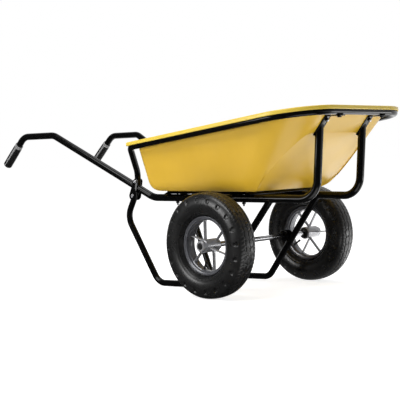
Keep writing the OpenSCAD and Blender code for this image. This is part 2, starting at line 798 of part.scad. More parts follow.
// Bracket bolts run outwards in, with their heads on the outer cheeks
module on_outer_cheek(s, p) {
    out = joint_side(s) * (joint_side(s)[1] * s > 0 ? 1 : -1);
    multmatrix(pose(p + out * bracket_half, descent(s), out)) children();
}
bracket_bolt_len = bracket_half * 2 + nut_h + bolt_tail / 2;
module leg_bolts() {
    color("#b4b4b8")
    for (s = [right, left]) on_outer_cheek(s, leg_bolt_at(s)) bolt(bracket_bolt_len, nut_d);
}
module foot_bolts() {
    color("#b4b4b8")
    for (s = [right, left]) on_outer_cheek(s, foot_bolt_at(s)) bolt(bracket_bolt_len, nut_d);
}
module bracket_nuts() {
    color("#2a2a2c")
    for (s = [right, left], p = [leg_bolt_at(s), foot_bolt_at(s)])
        on_outer_cheek(s, p) translate([0, 0, -bracket_half * 2 - nut_h]) nut();
}
module strap_bolts() {
    color("#3a3a3c")
    for (s = [right, left])
        translate(at(rim_front_x, s * run_front_y, strap_top_z - strap_t))
            rotate([180, 0, 0]) bolt(strap_bolt_len - over, nut_d);
}

// Grips: a sleeve on the tube's end
module on_grip(s) {
    axis = unit(grip_end(s) - handle_rear(s));
    multmatrix(pose(grip_end(s), cross([0, 1, 0], axis), axis)) children();
}
grip_r = grip_d / 2;
// The grip swells from its neck to its full width over a part of its length
neck_share = 0.75;
swell_share = 0.4;
grip_neck_r = mix(tube_d / 2, grip_r, neck_share);
function grip_at(z) = mix(grip_neck_r, grip_r, min(1, (z + grip_len) / grip_len / swell_share));
module grip(s) {
    color("#101010")
    on_grip(s)
        difference() {
            rotate_extrude($fn = tube_fn * 2) {
                polygon([
                    [0, -grip_len], [grip_neck_r, -grip_len], [grip_r, grip_len * (swell_share - 1)],
                    [grip_r, -grip_edge], [0, -grip_edge]
                ]);
                translate([grip_r - grip_edge, -grip_edge]) intersection() {
                    circle(r = grip_edge, $fn = tube_fn);
                    square(grip_edge);
                }
                translate([0, -grip_edge]) square([grip_r - grip_edge, grip_edge]);
            }
            translate([0, 0, -grip_len - over])
                cylinder(h = grip_len + over - grip_edge, d = tube_d + elbow_swell * 4, $fn = tube_fn);
        }
}
module right_grip() { grip(right); }
module left_grip() { grip(left); }

// The inlay stands on the rubber: a collar round the upper end and two stripes along the grip
inlay_gap = inlay_t / 20;
function on_rubber(stations) = concat(
    [for (z = stations) [grip_at(z) + inlay_gap, z]],
    [for (z = reversed(stations)) [grip_at(z) + inlay_t, z]]);
collar_end = collar_w - grip_len;
stripe_stations = [collar_end + inlay_t / 2, grip_len * (swell_share - 1), -grip_edge * 2];
module grip_inlay(s) {
    color("#8a8a8a")
    on_grip(s) {
        rotate_extrude($fn = tube_fn * 2) polygon(on_rubber([-grip_len, collar_end]));
        for (lean = [-stripe_lean, stripe_lean])
            rotate([0, 0, lean - stripe_angle / 2])
                rotate_extrude(angle = stripe_angle, $fn = tube_fn * 2)
                    polygon(on_rubber(stripe_stations));
    }
}
module right_grip_inlay() { grip_inlay(right); }
module left_grip_inlay() { grip_inlay(left); }

// Wheels are drawn about +Z, pointing outwards, and set on the axle
module on_axle(s, turn) {
    translate(at(0, s * track / 2, axle_z)) rotate([-90 * s, 0, 0]) rotate([0, 0, turn]) children();
}
function turn_of(s) = s == right ? right_turn : left_turn;

// A section given by shares of the height above a radius and of the half width, and its other side
function section(shares, from) = [for (p = shares) [mix(from, tyre_r, p[0]), p[1] * tyre_w / 2]];
function flipped(list) = [for (p = reversed(list)) [p[0], -p[1]]];
bead_share = 0.62;
bead_in = seat_w * bead_share;
tyre_half = concat(
    [[seat_r + bead_gap, bead_in], [seat_r + bead_gap, seat_w - bead_gap],
     [rim_r + bead_gap, seat_w - bead_gap], [rim_r + rim_sheet, rim_w / 2]],
    section(tyre_outer_shares, rim_r + rim_sheet));
tyre_hole = section(tyre_inner_shares, seat_r);
// Cuts between the shoulder blocks: their place and width across the tyre, and their part of the pitch
lug_at_share = 0.44;
lug_w_share = 0.28;
lug_gap_share = 0.4;
module tyre(s) {
    pitch = tyre_d * PI / lug_count;
    color("#26262a")
    on_axle(s, turn_of(s))
        difference() {
            rotate_extrude($fn = wheel_fn)
                polygon(concat(tyre_half, flipped(tyre_half), flipped(tyre_hole), tyre_hole));
            for (i = [0 : lug_count - 1], end = [0, 1])
                rotate([0, 0, (i + end / 2) * 360 / lug_count])
                    translate([tyre_r, 0, (1 - 2 * end) * tyre_w * lug_at_share])
                        cube([lug_depth * 2, pitch * lug_gap_share, tyre_w * lug_w_share], center = true);
        }
}
module right_tyre() { tyre(right); }
module left_tyre() { tyre(left); }

// The inner tube fills the tyre down to the rim
tube_floor_shares = [[0.04, 0.24]];
tube_floor = section(tube_floor_shares, seat_r);
tube_half = concat(tube_floor, reversed(tyre_hole));
tube_mid_share = 0.47;
tube_mid_r = mix(seat_r, tyre_r, tube_mid_share);
module inner_tube(s) {
    ring = concat(tube_half, flipped(tube_half));
    hollow = [for (p = ring) [mix(tube_mid_r, p[0], tube_hollow_share), p[1] * tube_hollow_share]];
    color("#1c1c1e")
    on_axle(s, turn_of(s))
        rotate_extrude($fn = wheel_fn)
            difference() {
                polygon(ring);
                polygon(hollow);
            }
}
module right_inner_tube() { inner_tube(right); }
module left_inner_tube() { inner_tube(left); }

// The rim: flanges, bead seats and a well, one sheet thick
well_share = 0.75;
well_w = spoke_meet / 2 + spoke_d * well_share;
rim_half = [
    [well_r + rim_sheet, well_w], [seat_r - rim_sheet / 3, well_w + rim_sheet * 2], [seat_r, seat_w],
    [rim_r, seat_w], [rim_r, rim_w / 2], [seat_r - rim_sheet, rim_w / 2],
    [seat_r - rim_sheet * 4 / 3, well_w + rim_sheet * 2], [well_r, well_w]
];
rim_out = [for (i = [0 : 4]) rim_half[i]];
rim_in = [for (i = [5 : 7]) rim_half[i]];
module rim(s) {
    color("#8e8e94")
    on_axle(s, turn_of(s))
        difference() {
            rotate_extrude($fn = wheel_fn)
                polygon(concat(rim_out, rim_in, flipped(rim_in), flipped(rim_out)));
            rotate([0, 0, valve_turn])
                rotate([0, 90, 0]) cylinder(h = tyre_r, d = valve_d + bolt_gap, $fn = bolt_fn);
        }
}
module right_rim() { rim(right); }
module left_rim() { rim(left); }

// Spokes lean from alternate rows on the hub to the rim's well
module spokes(s) {
    color("#a2a2a8")
    on_axle(s, turn_of(s))
        difference() {
            intersection() {
                for (i = [0 : spoke_count - 1])
                    rotate([0, 0, i * 360 / spoke_count])
                        rod(
                            [hub_d / 2 - over, 0, (i % 2 - 1 / 2) * spoke_spread],
                            [well_r + over, 0, (i % 2 - 1 / 2) * spoke_meet], spoke_d, bolt_fn);
                cylinder(h = hub_len, r = well_r, center = true, $fn = wheel_fn);
            }
            cylinder(h = hub_len, d = hub_d, center = true, $fn = tube_fn * 2);
        }
}
module right_spokes() { spokes(right); }
module left_spokes() { spokes(left); }

hub_edge = hub_d / 16;
module hub(s) {
    color("#9a9aa0")
    on_axle(s, turn_of(s))
        rotate_extrude($fn = tube_fn * 2)
            polygon([
                [bearing_d / 2, -hub_len / 2], [hub_d / 2 - hub_edge, -hub_len / 2],
                [hub_d / 2, -hub_len / 2 + hub_edge], [hub_d / 2, hub_len / 2 - hub_edge],
                [hub_d / 2 - hub_edge, hub_len / 2], [bearing_d / 2, hub_len / 2]
            ]);
}
module right_hub() { hub(right); }
module left_hub() { hub(left); }

module bearings(s) {
    color("#d8d4c8")
    on_axle(s, turn_of(s))
        for (z = [-hub_len / 2, hub_len / 2 - bearing_len])
            translate([0, 0, z])
                difference() {
                    cylinder(h = bearing_len, d = bearing_d, $fn = tube_fn * 2);
                    translate([0, 0, -over])
                        cylinder(h = bearing_len + over * 2, d = axle_d + run_gap * 2, $fn = tube_fn * 2);
                }
}
module right_bearings() { bearings(right); }
module left_bearings() { bearings(left); }

// Caps: a ring that covers the inner thrust washer, and a dome over the axle's end
cap_t = (cap_d - thrust_d) / 4;
cap_room = thrust_d / 2 + cap_t;
inner_cap_len = thrust_t + side_gap * 2 + cap_t;
outer_cap_room = axle_stub - hub_len / 2 + side_gap * 2;
outer_cap_len = outer_cap_room + cap_t;
module inner_cap(s) {
    color("#121212")
    on_axle(s, turn_of(s))
        translate([0, 0, -hub_len / 2])
            rotate_extrude($fn = tube_fn * 2)
                polygon([
                    [cap_room, 0], [cap_d / 2, 0], [cap_d / 2, cap_t - inner_cap_len],
                    [cap_d / 2 - cap_t, -inner_cap_len], [axle_d / 2 + cap_t / 2, -inner_cap_len],
                    [axle_d / 2 + cap_t / 2, cap_t - inner_cap_len], [cap_room, cap_t - inner_cap_len]
                ]);
}
module right_inner_cap() { inner_cap(right); }
module left_inner_cap() { inner_cap(left); }

// The dome's section, outside in shares of diameter and length and inside in shares of the room
dome_shares = [[0.5, 0], [0.5, 0.6], [0.44, 0.86], [0.3, 1], [0, 1]];
room_shares = [[0, 1], [0.7, 1], [1, 0.62], [1, 0]];
module outer_cap(s) {
    color("#121212")
    on_axle(s, turn_of(s))
        translate([0, 0, hub_len / 2])
            rotate_extrude($fn = tube_fn * 2)
                polygon(concat(
                    [for (p = dome_shares) [p[0] * cap_d, p[1] * outer_cap_len]],
                    [for (p = room_shares) [p[0] * cap_room, p[1] * outer_cap_room]]));
}
module right_outer_cap() { outer_cap(right); }
module left_outer_cap() { outer_cap(left); }

// The stem's narrow tip, in shares of its diameter and length
valve_tip_shares = [0.35, 0.7];
module valve(s) {
    color("#141414")
    on_axle(s, turn_of(s))
        rotate([0, 0, valve_turn])
            rotate([0, 90, 0])
                rotate_extrude($fn = bolt_fn)
                    polygon([
                        [0, well_r - valve_len], [valve_d * valve_tip_shares[0], well_r - valve_len],
                        [valve_d / 2, well_r - valve_len * valve_tip_shares[1]],
                        [valve_d / 2, tube_floor[0][0] - bead_gap], [0, tube_floor[0][0] - bead_gap]
                    ]);
}
module right_valve() { valve(right); }
module left_valve() { valve(left); }

right_main_tube();
left_main_tube();
right_leg();
left_leg();
rim_tube();
right_rear_bracket();
left_rear_bracket();
right_nose_strap();
left_nose_strap();
rear_cross_bar();
front_cross_bar();
right_axle_saddle();
left_axle_saddle();
axle();
thrust_washers();
retaining_pins();
tray();
tray_bolts();
tray_washers();
tray_nuts();
nose_bolts();
nose_nuts();
leg_bolts();
foot_bolts();
bracket_nuts();
strap_bolts();
right_grip();
left_grip();
right_grip_inlay();
left_grip_inlay();
right_tyre();
right_inner_tube();
right_rim();
right_spokes();
right_hub();
right_bearings();
right_inner_cap();
right_outer_cap();
right_valve();
left_tyre();
left_inner_tube();
left_rim();
left_spokes();
left_hub();
left_bearings();
left_inner_cap();
left_outer_cap();
left_valve();
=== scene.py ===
"""Looks of the two wheel wheelbarrow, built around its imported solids.

Lengths are in millimetres and stations count from the axle until a piece becomes a mesh.
The studio is in metres.
"""
import math
import bmesh
import bpy
import numpy as np
from mathutils import Matrix, Vector


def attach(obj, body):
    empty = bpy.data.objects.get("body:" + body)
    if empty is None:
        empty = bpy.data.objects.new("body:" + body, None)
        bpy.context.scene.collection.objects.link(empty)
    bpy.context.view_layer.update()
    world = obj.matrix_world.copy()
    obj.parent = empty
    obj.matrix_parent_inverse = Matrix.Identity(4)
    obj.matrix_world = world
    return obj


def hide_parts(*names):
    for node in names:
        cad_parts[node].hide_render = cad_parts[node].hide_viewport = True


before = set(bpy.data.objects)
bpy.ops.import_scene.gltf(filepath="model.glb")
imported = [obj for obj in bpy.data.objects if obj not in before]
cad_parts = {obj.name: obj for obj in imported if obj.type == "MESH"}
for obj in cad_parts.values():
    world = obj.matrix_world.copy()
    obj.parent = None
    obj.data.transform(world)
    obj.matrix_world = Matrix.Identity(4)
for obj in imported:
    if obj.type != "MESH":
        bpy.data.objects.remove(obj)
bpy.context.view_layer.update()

MM = 0.001
TURN = 2 * math.pi
AXLE_X = 422.763
RIGHT, LEFT = -1, 1
SIDES = ((RIGHT, "right"), (LEFT, "left"))
X, Y, Z = np.eye(3)


# Vectors

def vec(*p):
    return np.array(p, float)


def unit(v):
    v = np.asarray(v, float)
    return v / np.linalg.norm(v)


def mix(a, b, t):
    a, b = np.asarray(a, float), np.asarray(b, float)
    return a + (b - a) * t


def ramp(x, start, end):
    """Goes smoothly from 0 at the start to 1 at the end, and is level outside."""
    x = np.clip((x - start) / (end - start), 0.0, 1.0)
    return x * x * (3 - 2 * x)


def way_at(angle):
    return vec(math.cos(angle), math.sin(angle), 0)


def pose(origin, x=X, z=Z):
    """Matrix of a place with its +X and +Z directions."""
    m = np.eye(4)
    m[:3, 0], m[:3, 1], m[:3, 2], m[:3, 3] = x, np.cross(z, x), z, origin
    return m


def moved(m, points):
    return np.asarray(points, float) @ m[:3, :3].T + m[:3, 3]


# Lines

def turns(count):
    """Angles of points spread evenly round a circle."""
    return np.linspace(0, TURN, count, endpoint=False)


def circle(r, angle, z=0.0):
    """Points at the given angles, radius and height."""
    return np.stack(np.broadcast_arrays(r * np.cos(angle), r * np.sin(angle), z), axis=1)


def level(line, z):
    """A 2D line at a height."""
    return np.column_stack([line, np.full(len(line), z)])


def run_of(line):
    """Length of a line up to each of its points."""
    return np.concatenate([[0], np.cumsum(np.linalg.norm(np.diff(line, axis=0), axis=1))])


def resample(line, count, endpoint=True):
    """A line with evenly spread points."""
    run = run_of(line)
    at = np.linspace(0, run[-1], count, endpoint=endpoint)
    return np.stack([np.interp(at, run, column) for column in line.T], axis=1)


def both_sides(half):
    """A section of radii and offsets, from one half and its mirror image."""
    return half + [(r, -w) for r, w in reversed(half)]


def bend_path(corners, radii, step=4.0, least=3):
    """Points and directions along a line with rounded corners, a step of some degrees apart."""
    corners = [np.asarray(c, float) for c in corners]
    points, ways = [corners[0]], [unit(corners[1] - corners[0])]
    for a, b, c, r in zip(corners, corners[1:], corners[2:], radii):
        u, w = unit(b - a), unit(c - b)
        turn = math.acos(min(1.0, float(u @ w)))
        inward = unit(w - (w @ u) * u)
        centre = b - u * r * math.tan(turn / 2) + inward * r
        count = max(least, math.ceil(math.degrees(turn) / step))
        for k in range(count + 1):
            t = turn * k / count
            points.append(centre - inward * r * math.cos(t) + u * r * math.sin(t))
            ways.append(u * math.cos(t) + inward * math.sin(t))
    points.append(corners[-1])
    ways.append(unit(corners[-1] - corners[-2]))
    return points, ways


def rounded(corners, radii, steps=5, closed=True, most=0.45, straight=1e-3):
    """A 2D line with its corners rounded. A rounding takes at most a share of each side."""
    corners = [np.asarray(c, float) for c in corners]
    n = len(corners)
    out = []
    for i, (b, r) in enumerate(zip(corners, np.broadcast_to(radii, n))):
        a, c = corners[i - 1], corners[(i + 1) % n]
        u, w = unit(a - b), unit(c - b)
        half = math.acos(max(-1.0, min(1.0, float(u @ w)))) / 2
        is_end = not closed and i in (0, n - 1)
        if r <= 0 or is_end or abs(math.pi / 2 - half) < straight:
            out.append(b)
            continue
        trim = min(r / math.tan(half), most * np.linalg.norm(a - b), most * np.linalg.norm(c - b))
        p, q = b + u * trim, b + w * trim
        out += [mix(mix(p, b, t), mix(b, q, t), t) for t in np.arange(steps + 1) / steps]
    return np.array(out)


def inset(line, d, sharpest=0.6, tiny=1e-9):
    """A closed 2D line moved inwards by d."""
    before, after = np.roll(line, 1, axis=0), np.roll(line, -1, axis=0)
    area = 0.5 * np.sum(line[:, 0] * after[:, 1] - after[:, 0] * line[:, 1])
    n = 0
    for side in (line - before, after - line):
        side = side / np.maximum(np.linalg.norm(side, axis=1), tiny)[:, None]
        n = n + np.stack([-side[:, 1], side[:, 0]], axis=1)
    n /= np.maximum((n * n).sum(axis=1) / 2, sharpest)[:, None]
    return line + n * d * (1 if area > 0 else -1)


def onto_plane(ring, way, point, normal):
    """Moves a ring along a direction until it lies in a plane."""
    return ring + way * (((point - ring) @ normal) / (way @ normal))[:, None]


def onto_tube(ring, way, a, b, r):
    """Moves a ring along a direction until it meets the tube from a to b."""
    axis = unit(b - a)
    d = way - axis * (way @ axis)
    q = (ring - a) - np.outer((ring - a) @ axis, axis)
    aa, bb, cc = d @ d, 2 * (q @ d), (q * q).sum(axis=1) - r * r
    t = (-bb - np.sqrt(np.maximum(bb * bb - 4 * aa * cc, 0))) / (2 * aa)
    return ring + t[:, None] * way


# Solids, each a pair of its vertices and its faces

def placed(m, *solids):
    """A list of solids moved to a place."""
    return [(moved(m, verts), faces) for verts, faces in solids]


def grid(rows, cols, closed=False):
    """Quads of a grid of vertices, closed around each row and, if asked, across the rows."""
    faces = []
    for r in range(rows if closed else rows - 1):
        a, b = r * cols, (r + 1) % rows * cols
        for c in range(cols):
            d = (c + 1) % cols
            faces.append((a + c, a + d, b + d, b + c))
    return faces


def skin(rings, closed=False, caps=True):
    """A solid through rings of equal length."""
    n = len(rings[0])
    faces = grid(len(rings), n, closed=closed)
    if caps and not closed:
        last = (len(rings) - 1) * n
        faces += [tuple(range(n - 1, -1, -1)), tuple(range(last, last + n))]
    return np.concatenate(rings), faces


def rings_along(points, ways, radius, segs, steep=0.9):
    """Rings of vertices square to a path, which keep their turn from ring to ring."""
    across = unit(np.cross(Z if abs(ways[0][2]) < steep else X, ways[0]))
    rings = []
    for p, w, r in zip(points, ways, np.broadcast_to(radius, len(points))):
        across = unit(across - w * (across @ w))
        rings.append(p + circle(r, turns(segs)) @ np.stack([across, np.cross(w, across), w]))
    return rings


def bead(line, r, waves, count=144, ripple=0.16, segs=8):
    """A weld bead along a closed line, with the ripples of its runs."""
    points = resample(np.vstack([line, line[:1]]), count, endpoint=False)
    centre = points.mean(axis=0)
    rings = []
    for i, p in enumerate(points):
        way = unit(points[(i + 1) % count] - points[i - 1])
        out = p - centre
        out = unit(out - way * (out @ way))
        size = r * (1 + ripple * math.sin(TURN * waves * i / count))
        rings.append(p + circle(size, turns(segs)) @ np.stack([out, np.cross(way, out), way]))
    return skin(rings, closed=True)


def prism(line, h, edge):
    """A plate of height h over a closed 2D line, with rounded edges."""
    soft = edge * 0.3
    levels = [(edge, 0.0), (soft, soft), (0.0, edge), (0.0, h - edge), (soft, h - soft), (edge, h)]
    return skin([level(inset(line, d), z) for d, z in levels])


def revolve(profile, segs, closed=False):
    """A solid turned about +Z from points of radius and height."""
    return skin([circle(r, turns(segs), z) for r, z in profile], closed=closed, caps=False)


def sleeve(r0, r1, z0, z1, edges, steps=3, segs=48):
    """A ring about +Z between two radii and two heights, with rounded edges."""
    return revolve(rounded([(r0, z0), (r1, z0), (r1, z1), (r0, z1)], edges, steps), segs, closed=True)


def rod(r, half, edge, steps, segs):
    """A round bar about +Z with rounded ends."""
    line = [(0.0, -half), (r, -half), (r, half), (0.0, half)]
    return revolve(rounded(line, [0, edge, edge, 0], steps, closed=False), segs)


# Materials

def feed(tree, node, inputs):
    """Links a node's inputs to sockets or sets them to values."""
    for key, value in inputs.items():
        if isinstance(value, bpy.types.NodeSocket):
            tree.links.new(value, node.inputs[key])
        else:
            node.inputs[key].default_value = value


def add_node(tree, kind, inputs, **settings):
    node = tree.nodes.new("ShaderNode" + kind)
    for key, value in settings.items():
        setattr(node, key, value)
    feed(tree, node, inputs)
    return node


def new_material(name):
    m = bpy.data.materials.new(name)
    m.use_nodes = True
    tree = m.node_tree
    return m, tree, tree.nodes["Principled BSDF"], add_node(tree, "TexCoord", {}).outputs["Object"]


def noise(tree, where, scale, detail=4.0, rough=0.55, stretch=None):
    if stretch:
        where = add_node(tree, "Mapping", {"Vector": where, "Scale": stretch}).outputs["Vector"]
    inputs = {"Vector": where, "Scale": scale, "Detail": detail, "Roughness": rough}
    return add_node(tree, "TexNoise", inputs).outputs["Fac"]


def spread(tree, value, low, high, start=0.3, end=0.7):
    """Takes a value that goes from start to end to one that goes from low to high."""
    inputs = {"Value": value, "From Min": start, "From Max": end, "To Min": low, "To Max": high}
    return add_node(tree, "MapRange", inputs).outputs["Result"]


def choose(tree, fac, a, b):
    """Goes from a to b, which are numbers or sockets."""
    return add_node(tree, "Mix", {"Factor": fac, "A": a, "B": b}).outputs["Result"]


def blend(tree, fac, a, b):
    """Goes from a to b, which are colours or sockets."""
    node = add_node(tree, "Mix", {"Factor": fac}, data_type="RGBA")
    keys = [k for k, s in enumerate(node.inputs) if s.name in ("A", "B") and s.type == "RGBA"]
    feed(tree, node, {k: (*v, 1.0) if isinstance(v, tuple) else v for k, v in zip(keys, (a, b))})
    return [s for s in node.outputs if s.type == "RGBA"][0]


def surface(name, dark, light, rough, metal=0, coat=0, scale=14, grain=500, relief=0.05, depth=0.0004,
            stretch=None, specular=0.5):
    """A surface whose colour drifts between two tones, with uneven gloss and a fine grain."""
    m, tree, bsdf, where = new_material(name)
    drift = spread(tree, noise(tree, where, scale), 0.0, 1.0)
    gloss = spread(tree, noise(tree, where, 2.3 * scale), *rough)
    height = noise(tree, where, grain, detail=2.0, stretch=stretch)
    bump = add_node(tree, "Bump", {"Height": height, "Strength": relief, "Distance": depth})
    feed(tree, bsdf, {
        "Base Color": blend(tree, drift, dark, light), "Roughness": gloss, "Normal": bump.outputs["Normal"],
        "Metallic": metal, "IOR": 1.5, "Specular IOR Level": specular,
        "Coat Weight": coat, "Coat Roughness": 0.06})
    return m


MOULDING = dict(scale=5, grain=900, relief=0.03, depth=0.0003)
METAL = dict(relief=0.06, depth=0.0002)
WHEEL_PAINT = dict(metal=0.3, scale=30, grain=1200, relief=0.04, depth=0.0002)

PAINT = surface("frame_paint", (0.0018, 0.0018, 0.0019), (0.0034, 0.0034, 0.0034), (0.1, 0.16), scale=9,
                grain=240, relief=0.015, depth=0.0005, specular=0.24)
TRAY = surface("tray_plastic", (0.75, 0.455, 0.03), (0.81, 0.50, 0.038), (0.3, 0.4), **MOULDING)
# The flange and lip take a paler copy of the tray's own plastic: a painted sheen for the light on their top
LIP_PAINTED_SHEEN = surface("tray_lip_plastic_painted_sheen", (0.86, 0.62, 0.075), (0.9, 0.66, 0.09), (0.26, 0.36), **MOULDING)
STEEL = surface("bright_steel", (0.3, 0.3, 0.31), (0.38, 0.38, 0.39), (0.12, 0.2), metal=1, scale=60,
                grain=300, stretch=(30, 1, 30), **METAL)
ZINC = surface("zinc_plating", (0.46, 0.46, 0.48), (0.62, 0.62, 0.64), (0.22, 0.42), metal=1, scale=160,
               grain=700, **METAL)
DARK_STEEL = surface("dark_steel", (0.022, 0.022, 0.023), (0.045, 0.045, 0.047), (0.3, 0.48), metal=0.8,
                     scale=120, grain=700, **METAL)
GRIP = surface("grip_rubber", (0.007, 0.007, 0.0072), (0.012, 0.012, 0.0122), (0.42, 0.56), scale=40,
               grain=900, relief=0.08, depth=0.0003, specular=0.3)
INLAY = surface("grip_inlay", (0.25, 0.25, 0.252), (0.31, 0.31, 0.312), (0.38, 0.5), scale=50, grain=900,
                depth=0.0002)
TYRE = surface("tyre_rubber", (0.010, 0.010, 0.0102), (0.016, 0.0159, 0.0158), (0.25, 0.33), scale=18,
               grain=700, relief=0.06, depth=0.0003)
TUBE = surface("inner_tube_rubber", (0.02, 0.02, 0.02), (0.03, 0.03, 0.03), (0.6, 0.75), scale=20)
# Rim, spokes and hub share one grey paint. The rim's copy is darker, painted shade for its barrel, and the
# spokes' and hub's copy is lighter, painted highlight for the light they catch
RIM_PAINTED_SHADE = surface("rim_paint_painted_shade", (0.115, 0.117, 0.13), (0.135, 0.137, 0.152), (0.2, 0.28), coat=0.4, **WHEEL_PAINT)
SPOKE_PAINTED_HIGHLIGHT = surface("spoke_paint_painted_highlight", (0.33, 0.332, 0.35), (0.4, 0.402, 0.42), (0.16, 0.24), coat=0.2, **WHEEL_PAINT)
BEARING = surface("bearing_plastic", (0.66, 0.64, 0.59), (0.76, 0.74, 0.69), (0.4, 0.5), scale=60)
CAP = surface("cap_plastic", (0.008, 0.008, 0.008), (0.014, 0.014, 0.014), (0.3, 0.42), scale=50,
              grain=900, specular=0.35, **METAL)
VALVE = surface("valve_rubber", (0.01, 0.01, 0.01), (0.016, 0.016, 0.016), (0.45, 0.6), scale=60,
                specular=0.35)


# Pieces

def new_object(name, data):
    obj = bpy.data.objects.new(name, data)
    bpy.context.scene.collection.objects.link(obj)
    return obj


def shown(name, mesh, material, angle=35.0):
    """An object of a smooth mesh whose edges are sharp above an angle."""
    mesh.shade_smooth()
    mesh.set_sharp_from_angle(angle=math.radians(angle))
    mesh.materials.append(material)
    return new_object(name, mesh)


def piece(solids, material, slot, *nodes, body="chassis", angle=35.0):
    """Turns solids into a mesh that rides on a body and stands for CAD nodes."""
    name = nodes[0] + "_look"
    verts, faces = [], []
    for points, sides in solids:
        faces += [tuple(len(verts) + i for i in side) for side in sides]
        verts += ((points + AXLE_X * X) * MM).tolist()
    mesh = bpy.data.meshes.new(name)
    mesh.from_pydata(verts, [], faces)
    bm = bmesh.new()
    bm.from_mesh(mesh)
    bmesh.ops.recalc_face_normals(bm, faces=bm.faces)
    bm.to_mesh(mesh)
    bm.free()
    obj = shown(name, mesh, material, angle)
    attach(obj, body)
    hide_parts(*nodes)
    return obj


# Places on the chassis. A point is its station, its distance from the middle and its height

TUBE_R, LEG_R, RIM_TUBE_R = 15.0, 13.0, 13.0
HANDLE_Y, HANDLE_Z, RUN_Z = 266.0, 641.0, 367.0
RUN_REAR, RUN_FRONT = (-436.0, 171.0, RUN_Z), (373.0, 133.0, RUN_Z)
RIM_REAR, RIM_FRONT, RIM_BEND = (-431.0, 300.0, 577.0), (480.0, 342.0, 679.0), 165.0
CREASE_X, CREASE_Z = 380.0, 606.0
FOOT_X, TOE_X, FOOT_Y, RAIL_RISE, FOOT_BEND = -434.0, -104.0, 160.0, 12.0, 56.0
LEG_FRONT_X, GROUND_GAP = 168.0, 0.1
JOINT_SHARE, FOOT_BOLT_UP, LEG_BOLT_DOWN, KNEE_DOWN = 0.85, 26.0, 38.0, 137.0
BAR_X = (-304.0, 38.0)


def line_at(a, b, x, k):
    """Coordinate k, at station x, of the line through two points."""
    return a[k] + (b[k] - a[k]) * (x - a[0]) / (b[0] - a[0])


def run_y(x):
    return line_at(RUN_REAR, RUN_FRONT, x, 1)


def rim_y(x):
    return line_at(RIM_REAR, RIM_FRONT, x, 1)


def rim_z(x):
    return line_at(RIM_REAR, RIM_FRONT, x, 2)


def on_side(x, y, z):
    """A point of the chassis as a function of its side."""
    return lambda s: vec(x, s * y, z)


grip_end = on_side(-1327, HANDLE_Y, 511)
handle_rear = on_side(-1186, HANDLE_Y, HANDLE_Z)
handle_front = on_side(-985, 252, HANDLE_Z)
run_rear, run_front = on_side(*RUN_REAR), on_side(*RUN_FRONT)
rim_rear, rim_front = on_side(*RIM_REAR), on_side(*RIM_FRONT)
leg_front = on_side(LEG_FRONT_X, run_y(LEG_FRONT_X), RUN_Z)


def joint(s):
    """Where leg, rim tube and main tube meet at the rear bracket."""
    return mix(handle_front(s), run_rear(s), JOINT_SHARE)


def descent(s):
    return unit(run_rear(s) - handle_front(s))


def joint_up(s):
    return unit(Z - descent(s)[2] * descent(s))


def joint_side(s):
    return unit(np.cross(descent(s), joint_up(s)))


def foot_bolt(s):
    return joint(s) + FOOT_BOLT_UP * Z


def leg_bolt(s):
    return joint(s) - LEG_BOLT_DOWN * joint_up(s)


def knee(s):
    return joint(s) - KNEE_DOWN * joint_up(s)


def foot_height():
    """Height of the foot's corner, so that its bend rests on the ground."""
    tilt = math.atan2(RAIL_RISE, TOE_X - FOOT_X)
    a, b, c = knee(LEFT), vec(FOOT_X, FOOT_Y, LEG_R), vec(TOE_X, FOOT_Y, LEG_R + RAIL_RISE)
    turn = math.acos(float(unit(b - a) @ unit(c - b)))
    trim = FOOT_BEND * math.tan(turn / 2)
    return LEG_R + GROUND_GAP - trim * math.sin(tilt) + FOOT_BEND * (1 - math.cos(tilt))


FOOT_Z = foot_height()
TOE_Z = FOOT_Z + RAIL_RISE
foot, toe = on_side(FOOT_X, FOOT_Y, FOOT_Z), on_side(TOE_X, FOOT_Y, TOE_Z)


# Tray lines. The nose has a slanted panel below its crease and a band above, where the straps lie

FLOOR_REAR, FLOOR_FRONT, FLOOR_HALF, TRAY_Z, TRAY_T = -402.0, 153.0, 244.0, 396.0, 4.0
NOSE_TOP_X, WALL_INSET, LIP_OUT, FLANGE_GAP = 447.0, 17.0, 16.0, 0.15
RIM_TILT = math.atan2(RIM_FRONT[2] - RIM_REAR[2], RIM_FRONT[0] - RIM_REAR[0])
FLANGE_Z = RIM_TUBE_R / math.cos(RIM_TILT) + FLANGE_GAP
NOSE_TOP_Z = rim_z(NOSE_TOP_X) + FLANGE_Z
BAND = math.atan2(NOSE_TOP_Z - CREASE_Z, NOSE_TOP_X - CREASE_X)
BAND_OUT = vec(-math.sin(BAND), 0, math.cos(BAND))
DEEP_FRONT = CREASE_X - (CREASE_Z - TRAY_Z) / math.tan(BAND)
NOSE = math.atan2(CREASE_Z - TRAY_Z, CREASE_X - FLOOR_FRONT)
STRAP_T, STRAP_Y, STRAP_HALF = 4.0, RUN_FRONT[1], 17.0
STRAP_TOP_Z = RIM_FRONT[2] - RIM_TUBE_R
STRAP_TOP_X = CREASE_X + (STRAP_TOP_Z - CREASE_Z) / math.tan(BAND)


# Tubes

GRIP_LEN, GRIP_R = 138.0, 18.5
GRIP_EDGE = GRIP_R / 3


def main_tube(s, name):
    lean, overrun = 18.0, 1.2
    top = run_front(s) + vec(lean, 0, CREASE_Z - RUN_Z) * overrun
    start = grip_end(s) - GRIP_EDGE * unit(grip_end(s) - handle_rear(s))
    corners = [start, handle_rear(s), handle_front(s), run_rear(s), run_front(s), top]
    points, ways = bend_path(corners, radii=[75, 75, 95, 76])
    rings = rings_along(points, ways, TUBE_R, segs=48)
    # The upright's top is cut along the strap
    rings[-1] = onto_plane(rings[-1], ways[-1], vec(CREASE_X, 0, CREASE_Z) - BAND_OUT * STRAP_T, BAND_OUT)
    piece([skin(rings), bead(rings[-1], r=2.1, waves=34)], PAINT, "frame", name + "_main_tube")


